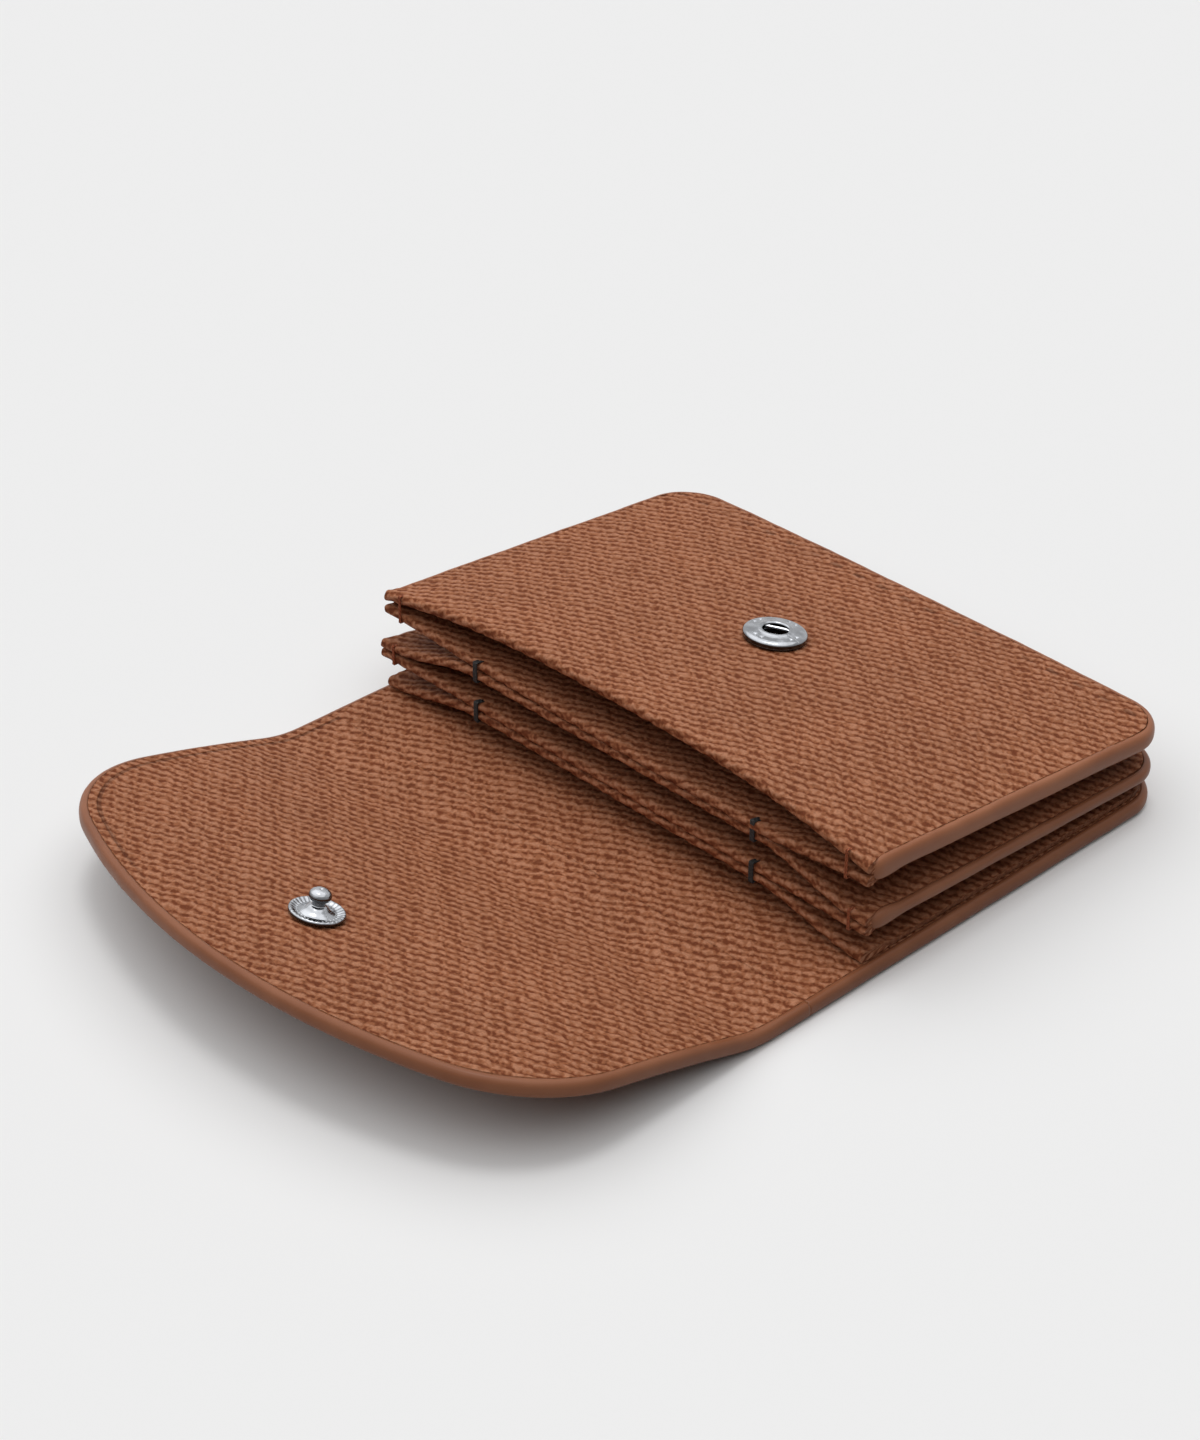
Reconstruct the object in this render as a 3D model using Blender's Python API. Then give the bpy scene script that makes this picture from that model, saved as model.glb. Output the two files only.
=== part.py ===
"""Card wallet lying open on its back: a fan of three leather pouches and a snap flap.

The cover is one long strip, made as back, spine and flap with a fold at each side of the spine.
On the back stand three flat pouches. Four hemmed leaves part them, sewn together in pairs along
a seam set in from each side, so that the fan opens like an accordion.

Metres, +Z up. The origin is on the surface that the wallet lies on, under the middle of its back.
The mouths of the pouches face -Y, where the flap lies. X runs across the wallet.
"""

import math

import bmesh
import bpy
import numpy as np

# The wallet's outline
WALLET_WIDTH = 0.104
WALLET_DEPTH = 0.0684
CORNER_RADIUS = 0.008

# Leather, board and the joints between them
SEAT_GAP = 0.0003
COVER_OUTER = 0.0010
COVER_BOARD = 0.0004
COVER_LINING = 0.0008
PANEL_OUTER = 0.0010
PANEL_LINING = 0.0007
LEAF_THICKNESS = 0.0009
LEAF_HEM_THICKNESS = 0.00135
HEM_DEPTH = 0.008
HEM_FULL_DEPTH = 0.0045
HEM_STEP = 0.0002
EDGE_BEAD = 0.00115

# The fan: the middle of the middle pouch and the seat of the front panel, at the mouth and the far end
MIDDLE_MOUTH = 0.0098
MIDDLE_FAR = 0.00635
FRONT_MOUTH = 0.0177
FRONT_FAR = 0.0118
MIDDLE_POCKET = 0.0003
SEAM_DROP = 0.0005
SEAM_INSET = 0.0220
FAN_PIVOT_INSET = 0.0010

# The front panel is domed by what the pouch holds, and its mouth draws back in the middle
MOUTH_CROWN = 0.0040
SOCKET_CROWN = 0.0027
FAR_CROWN = 0.0007
MOUTH_BOW = 0.0012
MOUTH_BOW_DEPTH = 0.0200

# Folds of the cover, as arc lengths from the pouch mouths
SPINE_FOLD = 0.0014
FLAP_FOLD = 0.02101
BEND_CENTRE = 0.0211
BEND_HALF = 0.0050
FLAP_RISE_ANGLE = 0.318
FLAP_SAG_ANGLE = 0.157

# The flap's outline, as arc lengths from the pouch mouths
FLAP_TIP = 0.0760
FLAP_FRONT_RADIUS = 0.1005
FLAP_CORNER_RADIUS = 0.0220

# Snap: the stud on the flap and the socket on the front pouch
STUD_REACH = 0.0570
SOCKET_REACH = 0.0351
STUD_FLANGE_RADIUS = 0.0041
STUD_FLANGE_HEIGHT = 0.0011
STUD_HUB_HEIGHT = 0.00145
STUD_HUB_RADIUS = 0.0021
STUD_NECK_RADIUS = 0.00095
STUD_NECK_HEIGHT = 0.0025
STUD_HEAD_RADIUS = 0.00165
STUD_HEIGHT = 0.0041
POST_RADIUS = 0.0013
POST_CLEARANCE = 0.0002
POST_HEAD_RADIUS = 0.0045
SOCKET_RADIUS = 0.00505
SOCKET_HEIGHT = 0.0018
SOCKET_LIP = 0.0004
SOCKET_FLOOR = 0.0002
SOCKET_WALL = 0.0015
HEAD_CLEARANCE = 0.00035
MOUTH_CLEARANCE = 0.0004
SPRING_RADIUS = 0.00022
SPRING_CLEARANCE = 0.00028
SPRING_LEG = 0.0022
EYELET_WALL = 0.0004
EYELET_RIM = 0.0009
EYELET_RIM_THICKNESS = 0.0002
EYELET_FLANGE_RADIUS = 0.0050
EYELET_FLANGE_THICKNESS = 0.0004
METAL_GAP = 0.0001

# Threads: black bar tacks on the leaf pairs and brown ones at the pouch corners
BAR_TACK_RADIUS = 0.00025
CORNER_TACK_RADIUS = 0.00025
TACK_CLEARANCE = 0.0001
TACK_REACH = 0.0028
CORNER_TACK_INSET = 0.0034
CORNER_TACK_SPACING = 0.0008

# Fineness of the meshes
TURNED_STEPS = 28
PROFILE_SAMPLES = 800
CUTTER_OVERRUN = 0.002
BEAD_FULLNESS = 0.77
DOME_POWER = 3

HALF_WIDTH = WALLET_WIDTH / 2
HALF_DEPTH = WALLET_DEPTH / 2
COVER_THICKNESS = COVER_OUTER + COVER_BOARD + COVER_LINING + 2 * SEAT_GAP
PANEL_THICKNESS = PANEL_OUTER + PANEL_LINING + SEAT_GAP
REAR_SEAT = COVER_THICKNESS + SEAT_GAP
SEAM_X = HALF_WIDTH - SEAM_INSET
SHEET_INSET = EDGE_BEAD + SEAT_GAP

LEATHER = (0.40, 0.185, 0.095)
LEATHER_DARK = (0.30, 0.130, 0.065)
EDGE_PAINT = (0.36, 0.170, 0.095)
BOARD_GREY = (0.35, 0.30, 0.25)
METAL = (0.42, 0.43, 0.45)
BLACK_THREAD = (0.010, 0.009, 0.009)
BROWN_THREAD = (0.45, 0.15, 0.04)


def clear_scene():
    for old in list(bpy.data.objects):
        bpy.data.objects.remove(old, do_unlink=True)


def finish_of(name, color, roughness, metallic=0.0):
    material = bpy.data.materials.new(name)
    material.use_nodes = True
    shader = material.node_tree.nodes["Principled BSDF"]
    shader.inputs["Base Color"].default_value = (*color, 1.0)
    shader.inputs["Roughness"].default_value = roughness
    shader.inputs["Metallic"].default_value = metallic
    material.diffuse_color = (*color, 1.0)
    return material


def leather(obj, color=LEATHER):
    obj.data.materials.append(finish_of(obj.name, color, 0.75))


def edge_paint(obj):
    obj.data.materials.append(finish_of(obj.name, EDGE_PAINT, 0.45))


def metal(obj):
    obj.data.materials.append(finish_of(obj.name, METAL, 0.3, 1.0))


def thread(obj, color):
    obj.data.materials.append(finish_of(obj.name, color, 0.8))


# Building blocks


def smooth(share):
    """Smooth step from 0 to 1."""
    share = np.clip(share, 0.0, 1.0)
    return share * share * (3.0 - 2.0 * share)


def mesh_object(name, points, faces):
    """A closed mesh with its faces turned outwards, shaded smooth between flat faces."""
    mesh = bpy.data.meshes.new(name)
    mesh.from_pydata([tuple(p) for p in points], [], faces)
    work = bmesh.new()
    work.from_mesh(mesh)
    bmesh.ops.recalc_face_normals(work, faces=work.faces)
    work.to_mesh(mesh)
    work.free()
    mesh.shade_smooth()
    mesh.set_sharp_from_angle(angle=math.radians(40))
    obj = bpy.data.objects.new(name, mesh)
    bpy.context.scene.collection.objects.link(obj)
    return obj


def sheet(name, upper, lower):
    """A solid sheet between two grids of points, rows by columns by 3, of one size."""
    rows, columns = upper.shape[:2]
    index = np.arange(rows * columns).reshape(rows, columns)
    below = index + rows * columns
    faces = []
    for grid in (index, below):
        for j in range(rows - 1):
            for i in range(columns - 1):
                faces.append((grid[j, i], grid[j, i + 1], grid[j + 1, i + 1], grid[j + 1, i]))
    rim = [*index[0, :], *index[1:, -1], *index[-1, -2::-1], *index[-2:0:-1, 0]]
    for a, b in zip(rim, rim[1:] + rim[:1]):
        faces.append((a, b, b + rows * columns, a + rows * columns))
    faces = [tuple(int(v) for v in face) for face in faces]
    return mesh_object(name, np.concatenate([upper.reshape(-1, 3), lower.reshape(-1, 3)]), faces)


def loft(name, rings):
    """A solid along rings of points, rings by points by 3, closed by a face at each end."""
    count, around = rings.shape[:2]
    index = np.arange(count * around).reshape(count, around)
    faces = [tuple(index[0]), tuple(index[-1, ::-1])]
    for j in range(count - 1):
        for i in range(around):
            k = (i + 1) % around
            faces.append((index[j, i], index[j, k], index[j + 1, k], index[j + 1, i]))
    faces = [tuple(int(v) for v in face) for face in faces]
    return mesh_object(name, rings.reshape(-1, 3), faces)


def turned(name, profile):
    """A turned piece: the closed outline of (radius, height) points spun about the Z axis."""
    work = bmesh.new()
    corners = [work.verts.new((radius, 0.0, height)) for radius, height in profile]
    edges = [work.edges.new(pair) for pair in zip(corners, corners[1:])]
    on_axis = profile[0][0] == 0.0 and profile[-1][0] == 0.0
    if not on_axis:
        edges.append(work.edges.new((corners[-1], corners[0])))
    bmesh.ops.spin(
        work,
        geom=corners + edges,
        cent=(0.0, 0.0, 0.0),
        axis=(0.0, 0.0, 1.0),
        angle=2.0 * math.pi,
        steps=TURNED_STEPS,
        use_merge=True,
    )
    bmesh.ops.remove_doubles(work, verts=work.verts, dist=METAL_GAP / 100)
    bmesh.ops.recalc_face_normals(work, faces=work.faces)
    mesh = bpy.data.meshes.new(name)
    work.to_mesh(mesh)
    work.free()
    mesh.shade_smooth()
    mesh.set_sharp_from_angle(angle=math.radians(40))
    obj = bpy.data.objects.new(name, mesh)
    bpy.context.scene.collection.objects.link(obj)
    return obj


def wire(name, points, radius):
    """A round wire or thread through the points, with closed ends."""
    curve = bpy.data.curves.new(name, "CURVE")
    curve.dimensions = "3D"
    curve.bevel_depth = radius
    curve.bevel_resolution = 2
    curve.use_fill_caps = True
    spline = curve.splines.new("POLY")
    spline.points.add(len(points) - 1)
    for target, point in zip(spline.points, points):
        target.co = (*point, 1.0)
    obj = bpy.data.objects.new(name, curve)
    bpy.context.scene.collection.objects.link(obj)
    return obj


def round_cutter(name, radius, length):
    """A cylinder about Z for a hole, centred at the origin."""
    work = bmesh.new()
    bmesh.ops.create_cone(
        work, cap_ends=True, segments=TURNED_STEPS, radius1=radius, radius2=radius, depth=length
    )
    mesh = bpy.data.meshes.new(name)
    work.to_mesh(mesh)
    work.free()
    obj = bpy.data.objects.new(name, mesh)
    obj.hide_render = True
    obj.display_type = "WIRE"
    bpy.context.scene.collection.objects.link(obj)
    return obj


def cut(obj, cutter):
    hole = obj.modifiers.new(cutter.name, "BOOLEAN")
    hole.operation = "DIFFERENCE"
    hole.solver = "EXACT"
    hole.object = cutter


# The cover: back, spine and flap are one surface, measured by arc length from the pouch mouths.
# Arc length is negative over the back and positive over the spine and flap.


def cover_profile():
    """Arc length, place along Y, height and slope of the lining's upper face."""
    arc = np.linspace(0.0, FLAP_TIP, PROFILE_SAMPLES)
    bend_end = BEND_CENTRE + BEND_HALF
    slope = FLAP_RISE_ANGLE * smooth((arc - BEND_CENTRE + BEND_HALF) / (2 * BEND_HALF))
    slope = slope - FLAP_SAG_ANGLE * np.clip((arc - bend_end) / (FLAP_TIP - bend_end), 0.0, 1.0)
    step = np.diff(arc)
    middle = (slope[1:] + slope[:-1]) / 2
    y = -HALF_DEPTH - np.concatenate([[0.0], np.cumsum(np.cos(middle) * step)])
    z = COVER_THICKNESS + np.concatenate([[0.0], np.cumsum(np.sin(middle) * step)])
    return arc, y, z, slope


COVER_ARC, COVER_Y, COVER_Z, COVER_SLOPE = cover_profile()


def cover_slope(arc):
    return np.interp(arc, COVER_ARC, COVER_SLOPE)


def cover_point(x, arc, depth):
    """Points of the cover at a depth below its lining's upper face."""
    x, arc, depth = np.broadcast_arrays(x, arc, depth)
    slope = cover_slope(arc)
    y = np.interp(arc, COVER_ARC, COVER_Y) - np.minimum(arc, 0.0)
    z = np.interp(arc, COVER_ARC, COVER_Z)
    return np.stack([x, y - depth * np.sin(slope), z - depth * np.cos(slope)], axis=-1)


def back_outline(inset):
    """Half widths and arc lengths down one side of the back, round its corner to the bottom."""
    corner = np.radians(np.linspace(0.0, 90.0, 7))
    radius = CORNER_RADIUS - inset
    x = HALF_WIDTH - CORNER_RADIUS + radius * np.cos(corner)
    arc = -(WALLET_DEPTH - CORNER_RADIUS + radius * np.sin(corner))
    start = SPINE_FOLD - SEAT_GAP / 2
    return np.concatenate([[x[0]], x]), np.concatenate([[start], arc])


def spine_outline(inset):
    arc = np.linspace(SPINE_FOLD + SEAT_GAP / 2, FLAP_FOLD - SEAT_GAP / 2, 8)
    return np.full_like(arc, HALF_WIDTH - inset), arc


def flap_outline(inset):
    """Half widths and arc lengths down one side of the flap, round its corner to the tip."""
    front_centre = FLAP_TIP - FLAP_FRONT_RADIUS
    corner_x = HALF_WIDTH - FLAP_CORNER_RADIUS
    rise = math.sqrt((FLAP_FRONT_RADIUS - FLAP_CORNER_RADIUS) ** 2 - corner_x**2)
    meet = math.atan2(rise, corner_x)
    corner = np.linspace(0.0, meet, 8)
    front = np.linspace(meet, math.radians(87.0), 12)[1:]
    bend = np.linspace(FLAP_FOLD + SEAT_GAP / 2, BEND_CENTRE + BEND_HALF, 6)
    side = np.linspace(bend[-1], front_centre + rise, 5)[1:-1]
    straight = np.concatenate([bend, side])
    corner_radius = FLAP_CORNER_RADIUS - inset
    front_radius = FLAP_FRONT_RADIUS - inset
    x = [np.full_like(straight, HALF_WIDTH - inset)]
    x += [corner_x + corner_radius * np.cos(corner), front_radius * np.cos(front)]
    arc = [straight, front_centre + rise + corner_radius * np.sin(corner)]
    arc += [front_centre + front_radius * np.sin(front)]
    return np.concatenate(x), np.concatenate(arc)


def cover_sheet(name, outline, top_depth, thickness):
    """One layer of the cover inside an outline."""
    x, arc = outline(SHEET_INSET)
    across = np.stack([-x, x], axis=1)
    along = np.stack([arc, arc], axis=1)
    return sheet(
        name,
        cover_point(across, along, top_depth),
        cover_point(across, along, top_depth + thickness),
    )


def cover_layers(part, outline):
    """The lining, board and outer leather of one part of the cover."""
    board_top = COVER_LINING + SEAT_GAP
    outer_top = board_top + COVER_BOARD + SEAT_GAP
    lining = cover_sheet(part + "_lining", outline, 0.0, COVER_LINING)
    board = cover_sheet(part + "_board", outline, board_top, COVER_BOARD)
    outer = cover_sheet(part + "_outer", outline, outer_top, COVER_OUTER)
    leather(lining)
    leather(board, BOARD_GREY)
    leather(outer)
    return lining, board, outer


# A painted edge's section, from its lower side round to its upper one
BEAD_ANGLES = np.radians(np.linspace(-90.0, 90.0, 9))
BEAD_OUT_SHARES = np.clip(np.cos(BEAD_ANGLES), 0.0, 1.0) ** BEAD_FULLNESS
BEAD_RISE_SHARES = np.sign(BEAD_ANGLES) * np.abs(np.sin(BEAD_ANGLES)) ** BEAD_FULLNESS


def cover_bead(name, x, arc, normal_x, normal_arc):
    """The painted edge of the cover: a full half round along a path with outward normals."""
    depth = COVER_THICKNESS / 2 * (1.0 - BEAD_RISE_SHARES)
    out = EDGE_BEAD * BEAD_OUT_SHARES
    ring_x = x[:, None] + normal_x[:, None] * out
    ring_arc = arc[:, None] + normal_arc[:, None] * out
    bead = loft(name, cover_point(ring_x, ring_arc, depth[None, :]))
    edge_paint(bead)
    return bead


def make_spine():
    cover_layers("spine", spine_outline)
    x, arc = spine_outline(EDGE_BEAD)
    zero = np.zeros_like(arc)
    cover_bead("spine_right_edge", x, arc, zero + 1.0, zero)
    cover_bead("spine_left_edge", -x, arc, zero - 1.0, zero)


def make_flap():
    lining, board, _ = cover_layers("flap", flap_outline)
    x, arc = flap_outline(EDGE_BEAD)
    outer_x, outer_arc = flap_outline(0.0)
    normal_x = (outer_x - x) / EDGE_BEAD
    normal_arc = (outer_arc - arc) / EDGE_BEAD
    tip_arc = np.array([FLAP_TIP - EDGE_BEAD])
    cover_bead(
        "flap_edge",
        np.concatenate([x, [0.0], -x[::-1]]),
        np.concatenate([arc, tip_arc, arc[::-1]]),
        np.concatenate([normal_x, [0.0], -normal_x[::-1]]),
        np.concatenate([normal_arc, [1.0], normal_arc[::-1]]),
    )
    return lining, board


# The fan: levels of the pouches above the surface, as functions of the way in from the mouth


def between(mouth, far, y):
    return mouth + (far - mouth) * y / WALLET_DEPTH


def leaf_thickness(y):
    """A leaf is double along its hem and thins out where the turned-in leather ends."""
    thin = smooth((y - HEM_FULL_DEPTH) / (HEM_DEPTH - HEM_FULL_DEPTH))
    return LEAF_HEM_THICKNESS + (LEAF_THICKNESS - LEAF_HEM_THICKNESS) * thin


def middle_level(y):
    return between(MIDDLE_MOUTH, MIDDLE_FAR, y)


def middle_base(y):
    return middle_level(y) - MIDDLE_POCKET / 2 - leaf_thickness(y)


def middle_top(y):
    return middle_level(y) + MIDDLE_POCKET / 2 + leaf_thickness(y)


def front_seat(y):
    """Upper face of leaf 1 at the pouch's edge, where the front panel sits on it."""
    return between(FRONT_MOUTH, FRONT_FAR, y)


def front_base(y):
    return front_seat(y) - leaf_thickness(y)


def upper_seam(y):
    """Upper face of leaf 1 where it is sewn to leaf 2."""
    return front_seat(y) - between(SEAM_DROP, 0.0, y)


def crown(y):
    """Height of the front panel's dome along its middle: set at the mouth, the socket and the far end."""
    near = (SOCKET_CROWN - MOUTH_CROWN) / SOCKET_REACH
    far = (FAR_CROWN - MOUTH_CROWN) / WALLET_DEPTH
    bend = (near - far) / (SOCKET_REACH - WALLET_DEPTH)
    return MOUTH_CROWN + (near - bend * SOCKET_REACH) * y + bend * y * y


def front_top(x, y):
    """The front panel's upper face."""
    dome = (1.0 - np.abs(x / HALF_WIDTH) ** DOME_POWER) * crown(y)
    return front_seat(y) + SEAT_GAP + PANEL_THICKNESS + dome


def mouth_bow(x, y):
    """How far the front panel's mouth draws back from the straight line between its corners."""
    return MOUTH_BOW * (1.0 - (x / HALF_WIDTH) ** 2) * (1.0 - smooth(y / MOUTH_BOW_DEPTH))


def no_bow(x, y):
    return np.zeros_like(x)


def toward_edge(x):
    """0 at the inset seam and inside it, 1 at the pouch's edge."""
    return smooth((np.abs(x) - SEAM_X) / (HALF_WIDTH - SHEET_INSET - SEAM_X))


def leaf_faces(number, x, y):
    """Upper and lower face of a leaf, counted from the front."""
    share = toward_edge(x)
    thick = leaf_thickness(y)
    if number == 1:
        upper = upper_seam(y) + share * (front_seat(y) - upper_seam(y))
    elif number == 2:
        seam = upper_seam(y) - thick - SEAT_GAP
        upper = seam + share * (middle_top(y) - seam)
    elif number == 3:
        upper = middle_level(y) - MIDDLE_POCKET / 2 + 0.0 * x
    else:
        seam = middle_base(y) - SEAT_GAP
        upper = seam + share * (REAR_SEAT + thick - seam)
    return upper, upper - thick


def half_width_at(y, inset):
    """Half width of a pouch at a way in from the mouth, with its two bottom corners round."""
    into_corner = np.clip(y - (WALLET_DEPTH - CORNER_RADIUS), 0.0, CORNER_RADIUS - inset)
    return HALF_WIDTH - CORNER_RADIUS + np.sqrt((CORNER_RADIUS - inset) ** 2 - into_corner**2)


def pouch_rows(inset, nose_thickness, start=None):
    """Ways in from the mouth for a sheet's rows, and how full its thickness is at each."""
    nose = np.radians([20.0, 50.0, 90.0])
    nose_y = nose_thickness / 2 * (1.0 - np.cos(nose))
    corner_start = WALLET_DEPTH - CORNER_RADIUS
    inner = np.linspace(HEM_DEPTH + HEM_STEP, corner_start, 7)
    corner = np.radians(np.linspace(0.0, 90.0, 6))[1:]
    corner_y = corner_start + (CORNER_RADIUS - inset) * np.sin(corner)
    if start is None:
        hem = [HEM_FULL_DEPTH, (HEM_FULL_DEPTH + HEM_DEPTH) / 2, HEM_DEPTH]
        y = np.concatenate([nose_y, hem, inner, corner_y])
        return y, np.concatenate([np.sin(nose), np.ones(len(hem) + len(inner) + len(corner_y))])
    inner[0] = start
    y = np.concatenate([inner, corner_y])
    return y, np.ones_like(y)


def pouch_sheet(name, rows, left, right, columns, faces, bow=no_bow):
    """A sheet of a pouch from its rows, its two sides, the levels of its faces and its mouth's bow."""
    y, fullness = rows
    share = np.linspace(0.0, 1.0, columns)[None, :]
    x = left[:, None] + (right - left)[:, None] * share
    way = np.broadcast_to(y[:, None], x.shape)
    upper, lower = faces(x, way)
    middle = (upper + lower) / 2
    half = (upper - lower) / 2 * fullness[:, None]
    place = way + bow(x, way) - HALF_DEPTH
    return sheet(
        name,
        np.stack([x, place, middle + half], axis=-1),
        np.stack([x, place, middle - half], axis=-1),
    )


def make_leaf(number):
    """One leaf: a divider between the inset seams and a gusset on each side of them."""
    rows = pouch_rows(SHEET_INSET, LEAF_HEM_THICKNESS)
    y = rows[0]
    edge = half_width_at(y, SHEET_INSET)
    inner = np.full_like(y, SEAM_X - SEAT_GAP / 2)
    outer = np.full_like(y, SEAM_X + SEAT_GAP / 2)

    def faces(x, way):
        return leaf_faces(number, x, way)

    leaf = "leaf_%d" % number
    leather(pouch_sheet(leaf + "_divider", rows, -inner, inner, 3, faces), LEATHER_DARK)
    leather(pouch_sheet(leaf + "_left_gusset", rows, -edge, -outer, 7, faces), LEATHER_DARK)
    leather(pouch_sheet(leaf + "_right_gusset", rows, outer, edge, 7, faces), LEATHER_DARK)


def panel_outer_faces(x, y):
    """The front panel's outer leather, turned in along the mouth to the panel's full thickness."""
    upper = front_top(x, y)
    return upper, upper - np.where(y <= HEM_DEPTH, PANEL_THICKNESS, PANEL_OUTER)


def panel_lining_faces(x, y):
    upper = front_top(x, y)
    return upper - PANEL_OUTER - SEAT_GAP, upper - PANEL_THICKNESS


def make_front_panel():
    rows = pouch_rows(SHEET_INSET, PANEL_THICKNESS)
    edge = half_width_at(rows[0], SHEET_INSET)
    outer = pouch_sheet("front_outer", rows, -edge, edge, 17, panel_outer_faces, mouth_bow)
    lining_start = HEM_DEPTH + HEM_STEP + SEAT_GAP
    rows = pouch_rows(SHEET_INSET, PANEL_THICKNESS, lining_start)
    edge = half_width_at(rows[0], SHEET_INSET)
    lining = pouch_sheet("front_lining", rows, -edge, edge, 17, panel_lining_faces, mouth_bow)
    leather(outer)
    leather(lining, LEATHER_DARK)
    return outer, lining


def pouch_path(start, end_rounding):
    """The U of a pouch's edge from mouth to mouth: X, way in, outward normal and fullness."""
    corner_start = WALLET_DEPTH - CORNER_RADIUS
    side = np.concatenate([[start, start + end_rounding / 2, start + 2 * end_rounding],
                           np.linspace(HEM_DEPTH, corner_start, 6)])
    corner = np.radians(np.linspace(0.0, 90.0, 7))[1:]
    radius = CORNER_RADIUS - EDGE_BEAD
    far = np.linspace(HALF_WIDTH - CORNER_RADIUS, 0.0, 5)[1:-1]
    x = np.concatenate([np.full_like(side, HALF_WIDTH - EDGE_BEAD),
                        HALF_WIDTH - CORNER_RADIUS + radius * np.cos(corner), far])
    y = np.concatenate([side, corner_start + radius * np.sin(corner),
                        np.full_like(far, WALLET_DEPTH - EDGE_BEAD)])
    normal_x = np.concatenate([np.ones_like(side), np.cos(corner), np.zeros_like(far)])
    normal_y = np.concatenate([np.zeros_like(side), np.sin(corner), np.ones_like(far)])
    return (
        np.concatenate([x, -x[::-1]]),
        np.concatenate([y, y[::-1]]),
        np.concatenate([normal_x, -normal_x[::-1]]),
        np.concatenate([normal_y, normal_y[::-1]]),
    )


def pouch_bead(name, start, low, high, fullness):
    """The painted edge of a pouch: a full half round between two levels, along its U."""
    x, y, normal_x, normal_y = pouch_path(start, EDGE_BEAD)
    out = EDGE_BEAD * BEAD_OUT_SHARES
    full = fullness(y)[:, None]
    ring_x = x[:, None] + normal_x[:, None] * out * full
    ring_y = y[:, None] + normal_y[:, None] * out * full
    middle = (low(x, y) + high(x, y))[:, None] / 2
    half = (high(x, y) - low(x, y))[:, None] / 2 * full
    ring_z = middle + half * BEAD_RISE_SHARES
    bead = loft(name, np.stack([ring_x, ring_y - HALF_DEPTH, ring_z], axis=-1))
    edge_paint(bead)
    return bead


def rounded_end(y):
    """Fullness of a bead near the mouth, where its end is rounded off."""
    share = np.clip(y / (2 * EDGE_BEAD), 0.0, 1.0)
    return 0.45 + 0.55 * np.sqrt(share * (2.0 - share))


def make_edges():
    def table(x, y):
        return np.zeros_like(y)

    def cover_top(x, y):
        return np.full_like(y, COVER_THICKNESS)

    pouch_bead("front_edge", 0.0, lambda x, y: front_base(y), front_top, rounded_end)
    pouch_bead("middle_edge", 0.0, lambda x, y: middle_base(y), lambda x, y: middle_top(y), rounded_end)
    pouch_bead("back_edge", SEAT_GAP / 2 - SPINE_FOLD, table, cover_top, np.ones_like)


# Snap


def socket_slope():
    """Slope of the front panel where the socket sits."""
    step = METAL_GAP
    ahead = front_top(0.0, SOCKET_REACH + step) - front_top(0.0, SOCKET_REACH - step)
    return ahead / (2 * step)


def at_socket(obj):
    """Puts a piece made about Z onto the front panel at the socket, square to the leather."""
    obj.location = (0.0, SOCKET_REACH - HALF_DEPTH, front_top(0.0, SOCKET_REACH))
    obj.rotation_euler = (math.atan(socket_slope()), 0.0, 0.0)
    return obj


def at_stud(obj):
    """Puts a piece made about Z onto the flap's lining at the stud, square to the leather."""
    place = cover_point(0.0, STUD_REACH, 0.0)
    obj.location = (0.0, float(place[1]), float(place[2]))
    obj.rotation_euler = (-float(cover_slope(STUD_REACH)), 0.0, 0.0)
    return obj


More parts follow.
